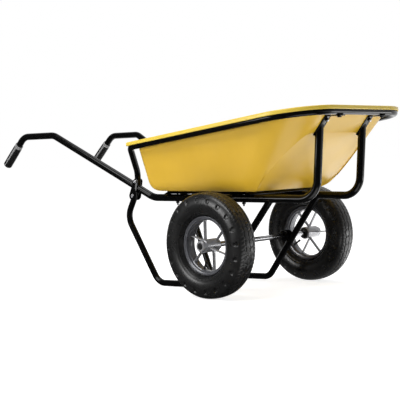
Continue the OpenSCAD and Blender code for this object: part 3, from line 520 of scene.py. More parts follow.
def leg(s, name):
    top_gap, back = 17.0, 60.0
    corners = [joint(s) - top_gap * joint_up(s), knee(s), foot(s), toe(s), leg_front(s)]
    points, ways = bend_path(corners, radii=[80, FOOT_BEND, FOOT_BEND])
    rings = rings_along(points, ways, LEG_R, segs=44)
    rings[-1] = onto_tube(rings[-1] - ways[-1] * back, ways[-1], run_rear(s), run_front(s), TUBE_R)
    piece([skin(rings), bead(rings[-1], r=2.0, waves=32)], PAINT, "frame", name + "_leg")


def rim_tube():
    foot_rise, foot_bend, foot_gap, back = 63.0, 45.0, 0.6, 50.0
    right, left = ([joint(s), joint(s) + foot_rise * Z, rim_rear(s), rim_front(s)] for s in (RIGHT, LEFT))
    bends = [foot_bend, foot_bend, RIM_BEND]
    points, ways = bend_path(right + left[::-1], bends + bends[::-1], step=3.0)
    rings = rings_along(points, ways, RIM_TUBE_R, segs=44)
    for k, s in ((0, RIGHT), (-1, LEFT)):
        rings[k] = onto_tube(rings[k] + back * Z, -Z, handle_front(s), run_rear(s), TUBE_R + foot_gap)
    piece([skin(rings)], PAINT, "frame", "rim_tube")


# Plates

def cheek_line(length, r0, r1):
    """Outline of a plate round two bolts."""
    phi = math.acos((r0 - r1) / length)
    a, b = np.linspace(phi, TURN - phi, 24), np.linspace(-phi, phi, 32)
    return np.concatenate([circle(r0, a), circle(r1, b) + length * X])[:, :2]


def rear_bracket(s, name):
    plate_t, side, plates = 4.0, joint_side(s), []
    for offset in (LEG_R, -LEG_R - plate_t):
        a, b = foot_bolt(s) + side * offset, leg_bolt(s) + side * offset
        line = cheek_line(np.linalg.norm(b - a), r0=12.0, r1=19.0)
        plates += placed(pose(a, unit(b - a), side), prism(line, plate_t, edge=0.9))
    piece(plates, PAINT, "frame", name + "_rear_bracket")


def along_y(line, y0, y1, edge):
    """A bar along Y whose section is given by stations and heights."""
    verts, faces = prism(line, y1 - y0, edge)
    return np.stack([verts[:, 0], verts[:, 2] + y0, verts[:, 1]], axis=1), faces


def nose_strap(s, name):
    end_x, below, edge = 493.0, 10.0, 0.8
    way = vec(math.cos(BAND), math.sin(BAND))
    low = vec(CREASE_X, CREASE_Z) - way * below
    knuckle, under_z = STRAP_T * math.tan(BAND / 2), STRAP_TOP_Z - STRAP_T
    line = [low, low + vec(way[1], -way[0]) * STRAP_T, (STRAP_TOP_X + knuckle, under_z), (end_x, under_z),
            (end_x, STRAP_TOP_Z), (STRAP_TOP_X, STRAP_TOP_Z)]
    line = rounded(line, [edge, edge, 9, 1.2, 1.2, 5], steps=6)
    strap = along_y(line, s * STRAP_Y - STRAP_HALF, s * STRAP_Y + STRAP_HALF, edge)
    piece([strap], PAINT, "frame", name + "_nose_strap")


def cross_bar(x, name):
    """A pressed hat section across both main tubes."""
    over, t, w, crown, foot_w = 24.0, 3.0, 104.0, 64.0, 10.0
    half, bar_z = run_y(x) + over, RUN_Z + TUBE_R
    h = TRAY_Z - bar_z
    line = [(-w / 2, 0), (-w / 2 + foot_w + t, 0), (-crown / 2 + t, h - t), (crown / 2 - t, h - t),
            (w / 2 - foot_w - t, 0), (w / 2, 0), (w / 2, t), (w / 2 - foot_w, t), (crown / 2, h),
            (-crown / 2, h), (-w / 2 + foot_w, t), (-w / 2, t)]
    line = rounded(line, [0.5, 4, 1.5, 1.5, 4, 0.5, 0.5, 1.5, 4, 4, 1.5, 0.5], steps=4) + vec(x, bar_z)
    piece([along_y(line, -half, half, edge=0.6)], PAINT, "frame", name)


# Axle

AXLE_Z, AXLE_R, TRACK_HALF, HUB_HALF = 200.0, 10.0, 306.0, 38.0
THRUST_T, THRUST_R, THRUST_GAP, STUB = 3.0, 15.5, 0.4, 8.0
THRUST_IN = HUB_HALF + THRUST_GAP + THRUST_T
AXLE_STUB = THRUST_IN + STUB


def axle_at(y):
    """A place on the axle line with +Z along +Y."""
    return pose(vec(0, y, AXLE_Z), X, Y)


def axle_saddle(s, name):
    half, weld_out = 18.0, 0.6
    y = mix(toe(s), leg_front(s), (AXLE_Z - TOE_Z) / (RUN_Z - TOE_Z))[1]
    solid = sleeve(AXLE_R, r1=22, z0=-half, z1=half, edges=[0.6, 2, 2, 0.6], steps=4, segs=64)
    solids = placed(axle_at(y), solid)
    for end in (-half - weld_out, half + weld_out):
        ring = circle(r=11.2, angle=turns(90), z=end)
        solids.append(bead(moved(axle_at(y), ring), r=1.7, waves=26, count=90))
    piece(solids, PAINT, "frame", name + "_axle_saddle")


def axle_pieces():
    fit, pin_r = 0.02, 2.0
    bar = rod(AXLE_R, TRACK_HALF + AXLE_STUB, edge=1.4, steps=4, segs=64)
    washer = sleeve(AXLE_R + fit, THRUST_R, 0, THRUST_T, edges=0.5)
    pin = rod(pin_r, half=15.5, edge=0.7, steps=3, segs=24)
    washers, pins = [], []
    for s in (RIGHT, LEFT):
        for y in (TRACK_HALF + THRUST_IN - THRUST_T, TRACK_HALF - THRUST_IN):
            washers += placed(axle_at(min(s * y, s * (y + THRUST_T))), washer)
        pins += placed(pose(vec(0, s * (TRACK_HALF + THRUST_IN + pin_r), AXLE_Z)), pin)
    piece(placed(axle_at(0), bar), STEEL, "steel", "axle")
    piece(washers, STEEL, "steel", "thrust_washers")
    piece(pins, STEEL, "steel", "retaining_pins")


# Fasteners, with the head above the origin and the shank below

BOLT_R, SUNK, BOLT_SEGS, NUT_H, THREAD_OUT = 4.0, 0.2, 24, 6.5, 4.0
TRAY_BOLTS = [(x, s * run_y(x)) for x in BAR_X for s in (RIGHT, LEFT)]


def dome_head(r=9.0, h=5.0, brim=1.25):
    dome = [(r * math.cos(t), brim + (h - brim) * math.sin(t)) for t in np.linspace(0, math.pi / 2, 12)]
    return revolve([(0.0, 0.0), (r - 0.4, 0.0), (r, 0.3)] + dome[:-1] + [(0.0, h)], 40)


def hex_part(h, bore=0.0, flats=13.0, lead=0.8, dish=0.35):
    """A hexagon with turned corners: a bolt's head, or a nut if it has a bore."""
    angle, inner = turns(72), flats / 2
    outer = inner / np.cos((angle + math.pi / 6) % (math.pi / 3) - math.pi / 6)
    rise, flat = (outer - inner) * 0.55, inner * 0.97
    sides = [(flat, 0.0), (outer, rise if bore else 0.0), (outer, h - rise), (flat, h)]
    if bore:
        sides = [(bore, lead), (bore + lead, 0.0)] + sides + [(bore + lead, h), (bore, h - lead)]
    else:
        sides = [(0.0, 0.0)] + sides + [(inner * 0.8, h), (inner * 0.74, h - dish), (0.0, h - dish)]
    return skin([circle(r, angle, z) for r, z in sides], closed=bool(bore), caps=False)


def shank(length, r=BOLT_R):
    return revolve([(r, SUNK), (r, -length)], BOLT_SEGS)


def thread(length, pitch=1.25, depth=0.62, tip_r=2.6):
    """A threaded shank that hangs below the origin."""
    angle = turns(BOLT_SEGS)
    rings = []
    for z in np.arange(0.0, -length, -pitch / 4):
        phase = (angle / TURN + z / pitch) % 1.0
        rings.append(circle(BOLT_R - depth * np.abs(2 * phase - 1), angle, z))
    return skin(rings + [circle(tip_r, angle, -length)])


DOME, HEAD, NUT = dome_head(), hex_part(h=5.0), hex_part(NUT_H, bore=4.1)


def tray_fasteners():
    washer_t, plain, thread_out, under = 2.0, 38.0, 8.0, RUN_Z - TUBE_R
    washer = sleeve(r0=4.2, r1=13, z0=0, z1=washer_t, edges=0.5)
    bolts, washers, nuts = [], [], []
    for x, y in TRAY_BOLTS:
        top = vec(x, y, TRAY_Z + TRAY_T + washer_t)
        bolts += placed(pose(top), DOME, shank(plain))
        bolts += placed(pose(top - plain * Z), thread(top[2] - plain - under + NUT_H + thread_out))
        washers += placed(pose(top - washer_t * Z), washer)
        nuts += placed(pose(vec(x, y, under - NUT_H)), NUT)
    piece(bolts, ZINC, "zinc", "tray_bolts")
    piece(washers, ZINC, "zinc", "tray_washers")
    piece(nuts, DARK_STEEL, "dark_steel", "tray_nuts")


def nose_fasteners():
    bolt_share, strap_bolt = 0.82, 12.0
    bolts, nuts, low = [], [], []
    stud = revolve([(BOLT_R, SUNK), (BOLT_R, -strap_bolt), (0.0, -strap_bolt)], BOLT_SEGS)
    x, z = mix((CREASE_X, CREASE_Z), (STRAP_TOP_X, STRAP_TOP_Z), bolt_share)
    rise = (z - TRAY_Z) / (NOSE_TOP_Z - TRAY_Z)
    wall = TRAY_T * (math.sin(BAND) + (1 - rise) * math.cos(BAND))
    for s in (RIGHT, LEFT):
        here = vec(x, s * STRAP_Y, z)
        bolts += placed(pose(here + BAND_OUT * wall, Y, BAND_OUT), DOME, shank(wall + STRAP_T))
        bolts += placed(pose(here - BAND_OUT * STRAP_T, Y, BAND_OUT), thread(NUT_H + THREAD_OUT))
        nuts += placed(pose(here - BAND_OUT * (STRAP_T + NUT_H), Y, BAND_OUT), NUT)
        low += placed(pose(vec(RIM_FRONT[0], s * STRAP_Y, STRAP_TOP_Z - STRAP_T), X, -Z), HEAD, stud)
    piece(bolts, ZINC, "zinc", "nose_bolts")
    piece(nuts, DARK_STEEL, "dark_steel", "nose_nuts")
    piece(low, DARK_STEEL, "dark_steel", "strap_bolts")


def bracket_fasteners():
    reach, shank_r, washer = 17.0, 3.99, [(0.0, 0.05), (7.4, 0.05), (7.4, 0.9), (6.2, 1.5)]
    legs, feet, nuts = [], [], []
    for s in (RIGHT, LEFT):
        side, way = joint_side(s), descent(s)
        out = side if side[1] * s > 0 else -side
        for bolts, p in ((legs, leg_bolt(s)), (feet, foot_bolt(s))):
            head = HEAD, revolve(washer, 40), shank(2 * reach, shank_r)
            bolts.extend(placed(pose(p + out * reach, way, out), *head))
            bolts.extend(placed(pose(p - out * reach, way, out), thread(NUT_H + THREAD_OUT)))
            nuts += placed(pose(p - out * (reach + NUT_H), way, out), NUT)
    piece(legs, ZINC, "zinc", "leg_bolts")
    piece(feet, ZINC, "zinc", "foot_bolts")
    piece(nuts, DARK_STEEL, "dark_steel", "bracket_nuts")


# Tray, with counts of points round a corner, along a side and across an end

CORNER, ALONG, ACROSS = 28, 36, 16
RL_LAST = 2 * CORNER + ALONG
RR_FIRST = RL_LAST + ACROSS
FR_LAST = RR_FIRST + RL_LAST
WALL_REAR, WALL_REAR_R, WALL_FRONT_R = RIM_REAR[0] + 3.0, 42.0, 148.0
FLOOR_REAR_R, FLOOR_FRONT_R, FLOOR_ROUND, NOSE_ROUND = 50.0, 110.0, 38.0, 60.0
NOSE_STEP, NOSE_STEP_IN, NOSE_FROM, NOSE_FADE = 2.6, 1.4, FLOOR_FRONT - 10.0, 40.0

# Shares of the flange's width, from the wall to the lip, with heights. Then insets of the lip, with heights
FLANGE = [(0, 1.5), (0, 3.2), (0.02, 4.4), (0.06, 5.3), (0.13, 5.9), (0.25, 6.25), (0.5, 6.6), (0.72, 6.9),
          (0.83, 7), (0.9, 6.75), (0.95, 6.1), (0.985, 5), (1, 3.6)]
LIP = [(0, 0.5), (0, -3), (0, -5.8), (0.25, -7), (0.9, -7.8), (1.6, -8), (2.3, -7.7), (2.85, -6.9), (3, -5.6),
       (3, -1), (3, 0)]


def corner(x, y, r, start):
    a = np.radians(start + 90 * np.arange(CORNER + 1) / CORNER)
    return circle(r, a)[:, :2] + vec(x, y)


def corners_of(rear_x, front_x, rear_y, front_y, rear_r, front_r):
    """The rounded corners of a line seen from above, from the front left one on."""
    return [corner(front_x - front_r, front_y - front_r, front_r, 0),
            corner(rear_x + rear_r, rear_y - rear_r, rear_r, 90),
            corner(rear_x + rear_r, rear_r - rear_y, rear_r, 180),
            corner(front_x - front_r, front_r - front_y, front_r, 270)]


def outline(*sizes):
    """A line of four rounded corners, with points between them."""
    corners = corners_of(*sizes)
    out = []
    for a, b, count in zip(corners, corners[1:] + corners[:1], (ALONG, ACROSS, ALONG, ACROSS)):
        out += [a, mix(a[-1], b[0], (np.arange(1, count) / count)[:, None])]
    return np.concatenate(out)


def floor_line(d):
    return outline(FLOOR_REAR + d, DEEP_FRONT - d, FLOOR_HALF - d, FLOOR_HALF - d, FLOOR_REAR_R - d / 2,
                   FLOOR_FRONT_R - d / 2)


def wall_line(d):
    return outline(WALL_REAR + d, NOSE_TOP_X - d, rim_y(WALL_REAR + WALL_REAR_R) - WALL_INSET - d,
                   rim_y(NOSE_TOP_X - WALL_FRONT_R) - WALL_INSET - d, WALL_REAR_R - d, WALL_FRONT_R - d)


def lip_line(d):
    out = LIP_OUT - d
    return outline(RIM_REAR[0] - out, RIM_FRONT[0] + out, RIM_REAR[1] + out,
                   rim_y(RIM_FRONT[0] - RIM_BEND) + out, out, RIM_BEND + out)


def on_rim(line, h):
    return np.column_stack([line, rim_z(line[:, 0]) + FLANGE_Z + h])


def nose_test(p, d):
    """Above 0 where a point lies before or below the slanted nose, whose face is pushed in by d."""
    x = p[..., 0] - FLOOR_FRONT + NOSE_ROUND * math.tan(NOSE / 2)
    z = TRAY_Z + NOSE_ROUND - p[..., 2]
    angle = np.arctan2(x, z)
    slant = x * math.sin(NOSE) + z * math.cos(NOSE)
    return np.where(angle < 0, z, np.where(angle < NOSE, np.hypot(x, z), slant)) - NOSE_ROUND + d


def tray_walls(d, rows, past_by=1e-4):
    """Rows of vertices from the flange down to the floor or the crease of the nose."""
    top, edge = on_rim(wall_line(d), 0.0), level(floor_line(d), TRAY_Z + d)
    high = mix(edge, top, FLOOR_ROUND / (RIM_REAR[2] - TRAY_Z))
    low = level(floor_line(d + FLOOR_ROUND), TRAY_Z + d)
    t, u = (np.linspace(0, 1, count)[:, None, None] for count in (60, 120))
    curve = np.concatenate([mix(top, high, u[:-1]), mix(mix(high, edge, t), mix(edge, low, t), t)])
    out = np.empty((rows, curve.shape[1], 3))
    for j in range(curve.shape[1]):
        line = curve[:, j]
        test = nose_test(line, d)
        past = np.nonzero(test > past_by)[0]
        if len(past):
            k = past[0]
            f = test[k - 1] / (test[k - 1] - test[k])
            line = np.vstack([line[:k], mix(line[k - 1], line[k], f)])
        out[:, j] = resample(line, rows)
    return out


def floor_ladder(rim):
    """Vertices and faces of the floor and nose inside a line of wall ends."""
    left = list(range(RL_LAST, -1, -1))
    right = list(range(RR_FIRST, FR_LAST + 1))
    verts, index, faces = [], [list(range(RL_LAST, RR_FIRST + 1))], []
    for a, b in zip(left[1:-1], right[1:-1]):
        new = len(rim) + len(verts)
        index.append([a] + list(range(new, new + ACROSS - 1)) + [b])
        verts += [mix(rim[a], rim[b], c / ACROSS) for c in range(1, ACROSS)]
    index.append([0] + list(range(len(rim) - 1, FR_LAST - 1, -1)))
    for r0, r1 in zip(index, index[1:]):
        for c in range(ACROSS):
            faces.append((r0[c], r0[c + 1], r1[c + 1], r1[c]))
    return verts, faces


def tray():
    rows = 44
    inner, outer = tray_walls(TRAY_T, rows), tray_walls(0.0, rows)
    n = inner.shape[1]
    flange = [mix(on_rim(wall_line(TRAY_T), h), on_rim(lip_line(0), h), share) for share, h in FLANGE]
    lip = [on_rim(lip_line(d), h) for d, h in LIP]
    # The nose panel stands back from the walls by a small step
    ends = outer[-1]
    away = ends.mean(axis=0) - ends
    away /= np.linalg.norm(away, axis=1)[:, None]
    deep = NOSE_STEP * ramp(ends[:, 0], NOSE_FROM, NOSE_FROM + NOSE_FADE)
    step = ends + NOSE_STEP_IN * away + deep[:, None] * vec(-math.sin(NOSE), 0, math.cos(NOSE))
    rings = [*inner[::-1], *flange, *lip, *outer, step]
    verts, faces = [np.concatenate(rings)], grid(len(rings), n)
    for ring, first in ((inner[-1], 0), (step, (len(rings) - 1) * n)):
        base = sum(len(v) for v in verts)
        more, quads = floor_ladder(ring)
        verts.append(np.array(more))
        for q in quads:
            faces.append(tuple(first + i if i < n else base + i - n for i in q))
    obj = piece([(np.concatenate(verts), faces)], TRAY, "tray", "tray", angle=50.0)
    mesh = obj.data
    # The flange and lip faces take the paler copy of the tray plastic, painted sheen
    mesh.materials.append(LIP_PAINTED_SHEEN)
    first, last = (rows + 1) * n, (rows + len(FLANGE) + len(LIP) - 2) * n
    for face in mesh.polygons:
        if first <= min(face.vertices) and max(face.vertices) < last:
            face.material_index = 1
    # The crease of the nose is rounded inside
    weight = mesh.attributes.new("bevel_weight_edge", "FLOAT", "EDGE")
    raised = inner[-1][:, 0] > NOSE_FROM
    for e in mesh.edges:
        a, b = sorted(e.vertices)
        if b < n and b - a in (1, n - 1) and raised[a] and raised[b]:
            weight.data[e.index].value = 1.0
    mod = obj.modifiers.new("crease", "BEVEL")
    mod.limit_method = "WEIGHT"
    mod.width = 3.0 * MM
    mod.segments = 3


def floor_panel():
    """The raised panel in the tray's floor, with a pocket round each bolt."""
    margin, front_margin, corner_r, pocket_r = 46.0, 68.0, 50.0, 18.0
    panel_h, edge, sink = 5.0, 2.5, 0.4
    half = FLOOR_HALF - margin
    border = corners_of(FLOOR_REAR + margin, FLOOR_FRONT - front_margin, half, half, corner_r, corner_r)
    pockets = [circle(pocket_r, turns(72))[:, :2] + vec(x, y) for x, y in TRAY_BOLTS]
    curve = bpy.data.curves.new("floor_panel", "CURVE")
    curve.dimensions = "2D"
    curve.fill_mode = "BOTH"
    for line in [np.concatenate(border)] + pockets:
        spline = curve.splines.new("POLY")
        spline.points.add(len(line) - 1)
        for point, p in zip(spline.points, line):
            point.co = ((p[0] + AXLE_X) * MM, p[1] * MM, 0.0, 1.0)
        spline.use_cyclic_u = True
    curve.extrude = (panel_h - edge + sink) * MM
    curve.bevel_depth = edge * MM
    curve.bevel_resolution = 4
    curve.offset = -edge * MM
    tmp = new_object("floor_panel_curve", curve)
    tmp.location = (0, 0, (TRAY_Z + TRAY_T + panel_h - sink) * MM)
    bpy.context.view_layer.update()
    mesh = bpy.data.meshes.new_from_object(tmp.evaluated_get(bpy.context.evaluated_depsgraph_get()))
    mesh.transform(tmp.matrix_world)
    mesh.name = "floor_panel_look"
    mesh.materials.clear()
    bpy.data.objects.remove(tmp)
    obj = shown("floor_panel_look", mesh, TRAY)
    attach(obj, "chassis")


# Grips, drawn along +Z up to their tips. Ribbed black pads stand between a grey collar and two grey stripes

GRIP_NECK_R = mix(TUBE_R, GRIP_R, 0.75)
GRIP_TIP, TIP_PLAIN, MOUTH, MOUTH_EDGE, BORE_GAP = 7.2, 3.5, 0.6, 0.7, 0.1
COLLAR, STRIPE_AT, STRIPE_HALF, STRIPE_TAPER, INLAY_H = 15.0, 98.0, 4.6, 0.55, 0.62
PAD_SUNK, PAD_H, PAD_EDGE, PAD_ROUND, PAD_END, RIB, RIB_PITCH = 0.12, 1.0, 1.6, 3.0, 3.0, 0.06, 3.2


def grip_radius(z):
    """Radius below pads and inlay, from the neck to the rounded tip."""
    if z > -GRIP_TIP:
        return GRIP_R - GRIP_TIP + math.sqrt(max(0.0, GRIP_TIP ** 2 - (z + GRIP_TIP) ** 2))
    r = mix(GRIP_NECK_R, GRIP_R, ramp(z, -GRIP_LEN, -GRIP_LEN / 2))
    return r - MOUTH_EDGE if z < MOUTH - GRIP_LEN else r


def grip_skin(z, angle):
    """Radii round a station, and where they belong to a pad."""
    r = grip_radius(z)
    if z > -TIP_PLAIN:
        return np.full(len(angle), r + INLAY_H * (1 - ramp(z, -TIP_PLAIN, 0))), np.zeros(len(angle), bool)
    taper_from, taper_to = -70.0, -8.0
    stripe = STRIPE_HALF * (1 - STRIPE_TAPER * ramp(z, taper_from, taper_to))
    off = np.radians(np.abs(np.degrees(np.abs(angle)) - STRIPE_AT)) * r - stripe
    start = z + GRIP_LEN - COLLAR
    near = (off < PAD_ROUND) & (start < PAD_ROUND)
    inside = np.where(near, PAD_ROUND - np.hypot(PAD_ROUND - off, PAD_ROUND - start), np.minimum(off, start))
    inside = np.minimum(inside, -PAD_END - z)
    rise = PAD_H * ramp(inside, 0, PAD_EDGE) * (1 - RIB + RIB * np.cos(z * TURN / RIB_PITCH))
    return r + np.where(inside > 0, PAD_SUNK + rise, INLAY_H), inside > 0


def grip(s, name):
    cols, black_tip = 144, 8.0
    axis = unit(grip_end(s) - handle_rear(s))
    m = pose(grip_end(s), np.cross(Y, axis), axis)
    stations = np.concatenate([
        [-GRIP_LEN], np.linspace(-GRIP_LEN + MOUTH, -GRIP_LEN + 15.5, 20),
        np.linspace(-GRIP_LEN + 16.2, -10, 96),
        -GRIP_TIP + GRIP_TIP * np.sin(np.linspace(0.05, 1, 12) * math.pi / 2)])
    angle = np.linspace(-math.pi, math.pi, cols, endpoint=False)
    radii, pads = zip(*[grip_skin(z, angle) for z in stations])
    rings = [circle(r, angle, z) for r, z in zip(radii, stations)]
    verts = np.concatenate(rings + [circle(TUBE_R + BORE_GAP, angle, -GRIP_LEN)])
    black, grey = [], []
    for i, z in enumerate(stations[:-1]):
        for c in range(cols):
            d = (c + 1) % cols
            quad = (i * cols + c, i * cols + d, (i + 1) * cols + d, (i + 1) * cols + c)
            on_pad = sum(int(pads[a][b]) for a in (i, i + 1) for b in (c, d))
            (black if on_pad >= 2 or z > -black_tip else grey).append(quad)
    mouth = len(stations) * cols
    black.append(tuple(range(mouth - cols, mouth)))
    grey += [(mouth + c, mouth + (c + 1) % cols, (c + 1) % cols, c) for c in range(cols)]
    for faces, material, slot, node in ((black, GRIP, "grip", "grip"), (grey, INLAY, "inlay", "grip_inlay")):
        used = sorted({i for f in faces for i in f})
        place = {i: k for k, i in enumerate(used)}
        part = verts[used], [tuple(place[i] for i in f) for f in faces]
        piece(placed(m, part), material, slot, name + "_" + node, angle=60.0)


# Wheels, drawn about +Z pointing outwards. Sections are radii and distances from the wheel's middle

SPIN = {RIGHT: 41.0, LEFT: -65.0}
TYRE_R, TREAD_R, BLOCKS, SIDEWALL = 200.0, 190.0, 20, 99.0
TYRE_SIDE = [
    (111.4, 23.2), (113.4, 24.4), (114.6, 26.4), (115.7, 28.8), (117.3, 32.4), (119.3, 36.2), (121.4, 39.2),
    (122.8, 41.4), (124, 42.7), (125.4, 43.1), (126.6, 42.9), (127.4, 43.5), (129.4, 44.7), (132.5, 46.1),
    (136.5, 47.4), (141, 48.5), (146, 49.3), (151, 49.8), (155, 50), (158, 50)
]
TYRE_CROWN = [
    (161.5, 49.7), (166, 49.15), (170, 48.4), (174, 47.45), (178, 46.3), (182, 44.9), (185.4, 43.4),
    (188.4, 41.8), (191, 39.9), (193.2, 37.5), (195.1, 34.4), (196.6, 30.8), (197.7, 26), (198.6, 20.5),
    (199.3, 14.5), (199.8, 7.5), (TYRE_R, 0)
]
TYRE_INSIDE = [(111.3, -22.8), (103.3, -22.8), (103.3, -14.5), (119.5, -18), (126, -30), (138, -39),
               (157, -42), (177, -39), (186, -30), (189, -10)]


def on_wheel(s, name, node, material, slot, *solids, angle=35.0):
    """A piece of a wheel, at the turn that the photo shows."""
    turn = math.radians(SPIN[s])
    m = pose(vec(0, s * TRACK_HALF, AXLE_Z), vec(math.cos(turn), 0, -s * math.sin(turn)), s * Y)
    return piece(placed(m, *solids), material, slot, name + "_" + node, body=name + "_wheel", angle=angle)


def tyre_section(step):
    """Points of the outer surface, finer at the tread, and how far each lies from the crown's middle."""
    crown = np.array(TYRE_CROWN)
    length = run_of(crown)[-1]
    count = round(length / step)
    half = np.vstack([TYRE_SIDE, resample(crown, count)])
    away = np.concatenate([np.full(len(TYRE_SIDE), SIDEWALL), np.linspace(length, 0, count)])
    return np.vstack([half, (half * (1, -1))[-2::-1]]), np.concatenate([away, -away[-2::-1]])


def groove(distance, half, depth, soft=1.3):
    return depth * (1 - ramp(np.abs(distance), half - soft / 2, half + soft / 2))


def tread(angle, v):
    """Depth of the tread below the surface at angles in radians and a distance from the crown's middle."""
    pitch, av = TURN / BLOCKS, abs(v)
    notch_r, notch_from, notch_full, notch_end = 7.6, 52.0, 58.0, 71.0
    rib_edge, edge_swing, middle_swing = 20.5, 2.4, 2.2
    slit_half, inner_middle, inner_lean, outer_middle, outer_lean = 1.1, 10.0, 0.55, 34.0, 0.35
    phase = (angle / pitch + (0.0 if v > 0 else 0.5)) % 1.0
    half_phase = (2 * phase) % 1.0 - 0.5
    along = ((phase + 0.5) % 1.0 - 0.5) * pitch * TREAD_R
    zigzag = np.abs(half_phase) * 4 - 1
    # Notches between the shoulder blocks, round at their lower ends
    reach = np.hypot(along, max(av - notch_end + notch_r, 0.0))
    cuts = [groove(reach, notch_r, depth=4.4, soft=4.0) * ramp(av, notch_from, notch_full)]
    # Zigzag grooves round the crown, and slits that part its ribs into blocks
    cuts.append(groove(av - rib_edge - edge_swing * zigzag, half=1.5, depth=2.4))
    cuts.append(groove(v - middle_swing * zigzag, half=1.4, depth=2.4))
    if 2.0 < av < rib_edge:
        lean = half_phase * pitch * TYRE_R / 2 - inner_lean * (av - inner_middle)
        cuts.append(groove(lean, slit_half, depth=2.0))
    if 18.0 < av < 50.0:
        for lane in (-0.375, -0.125, 0.125, 0.375):
            lean = along - lane * pitch * TREAD_R + outer_lean * (av - outer_middle)
            cuts.append(groove(lean, slit_half, depth=1.5) * ramp(av, 46, 36))
    return np.max(cuts, axis=0)


def tyre(s, name):
    section, away = tyre_section(step=1.75)
    slope = np.gradient(section, axis=0)
    out = np.stack([-slope[:, 1], slope[:, 0]], axis=1)
    out /= np.linalg.norm(out, axis=1)[:, None]
    angle = turns(660)
    rings = []
    for (r, w), n, v in zip(section, out, away):
        deep = tread(angle, v) if abs(v) < SIDEWALL else 0.0
        rings.append(circle(r - n[0] * deep, angle, w - n[1] * deep))
    rings += [circle(r, angle, w) for r, w in both_sides(TYRE_INSIDE)]
    on_wheel(s, name, "tyre", TYRE, "tyre", skin(rings, closed=True), angle=60.0)


HUB_R, BEARING_R, BEARING_GAP, BEARING_LEN = 25.0, 16.0, 0.06, 22.0
CAP_R, CAP_BORE, CAP_ROOM, CAP_EYE = 22.0, 11.6, 2 * THRUST_GAP, 12.8
CAP_T = (CAP_R - THRUST_R) / 2
WALL_R = CAP_R - CAP_T


def rim(s, name):
    seat = [(98, 10.5), (102, 16.5), (103, 23), (111, 23), (111, 26)]
    face = [(106, 26), (104.6, 24.2), (100.2, 23.4), (98.6, 20.6), (100.4, 17.6), (99.4, 14.6), (96, 12),
            (95.2, 7.9), (96.2, 5.4), (95.2, 2.6)]
    bends = [3, 5, 2, 1.4, 1.4] + [2] * len(face)
    line = rounded(both_sides(seat + face), bends + bends[::-1])
    # The rim takes the darker copy of the wheel paint, painted shade
    on_wheel(s, name, "rim", RIM_PAINTED_SHADE, "rim", revolve(line, 160, closed=True))


def spokes(s, name):
    count, rim_r, meet_r, hub_spread, rim_spread = 6, 95.0, 94.9, 34.0, 6.0
    spoke_r, hub_flare, rim_flare, flare_run, flatten = 8.4, 1.4, 1.8, 0.06, 0.64
    t = np.concatenate([np.linspace(0, 0.08, 8), np.linspace(0.12, 0.9, 12), np.linspace(0.93, 1.0, 8)])
    size = spoke_r + hub_flare * (1 - ramp(t, 0, flare_run)) + rim_flare * ramp(t, 1 - flare_run, 1)
    solids = []
    for i in range(count):
        out, lean = way_at(TURN * i / count), i % 2 - 0.5
        p0, p1 = out * HUB_R + lean * hub_spread * Z, out * rim_r + lean * rim_spread * Z
        way, tangent = unit(p1 - p0), np.cross(Z, out)
        points = [mix(p0, p1, k) for k in t]
        rings = rings_along(points, [way] * len(t), size, segs=28)
        rings = [ring - flatten * np.outer((ring - q) @ tangent, tangent) for ring, q in zip(rings, points)]
        # The ends follow the round of hub and rim
        for k, r in ((0, HUB_R), (-1, meet_r)):
            now = np.hypot(rings[k][:, 0], rings[k][:, 1])
            rings[k] = rings[k] + np.outer((r - now) / (way @ out), way)
        solids.append(skin(rings))
    # The spokes take the lighter copy of the wheel paint, painted highlight
    on_wheel(s, name, "spokes", SPOKE_PAINTED_HIGHLIGHT, "rim", *solids)


def hub(s, name):
    h, end_r, chamfer = HUB_HALF, 22.0, 3.0
    line = [(BEARING_R, -h), (end_r, -h), (HUB_R, chamfer - h), (HUB_R, h - chamfer), (end_r, h),
            (BEARING_R, h)]
    line = rounded(line, [0.6, 1, 1.6, 1.6, 1, 0.6], steps=4)
    # The hub takes the lighter copy of the wheel paint, painted highlight
    on_wheel(s, name, "hub", SPOKE_PAINTED_HIGHLIGHT, "rim", revolve(line, 96, closed=True))


def bearings(s, name):
    bore, inside = AXLE_R + BEARING_GAP, HUB_HALF - BEARING_LEN
    pair = [sleeve(bore, BEARING_R, k * HUB_HALF, k * inside, edges=0.8, segs=64) for k in (-1, 1)]
    on_wheel(s, name, "bearings", BEARING, "bearing", *pair)


def inner_cap(s, name):
    h, end = -HUB_HALF, -HUB_HALF - THRUST_T - CAP_ROOM - CAP_T
    line = [(WALL_R, h), (CAP_R, h), (CAP_R, end + CAP_T), (WALL_R, end), (CAP_BORE, end),
            (CAP_BORE, end + CAP_T), (WALL_R, end + CAP_T)]
    line = rounded(line, [0.4, 0.6, 2, 2, 0.8, 0.4, 0.6], steps=4)
    on_wheel(s, name, "inner_cap", CAP, "cap", revolve(line, 96, closed=True))


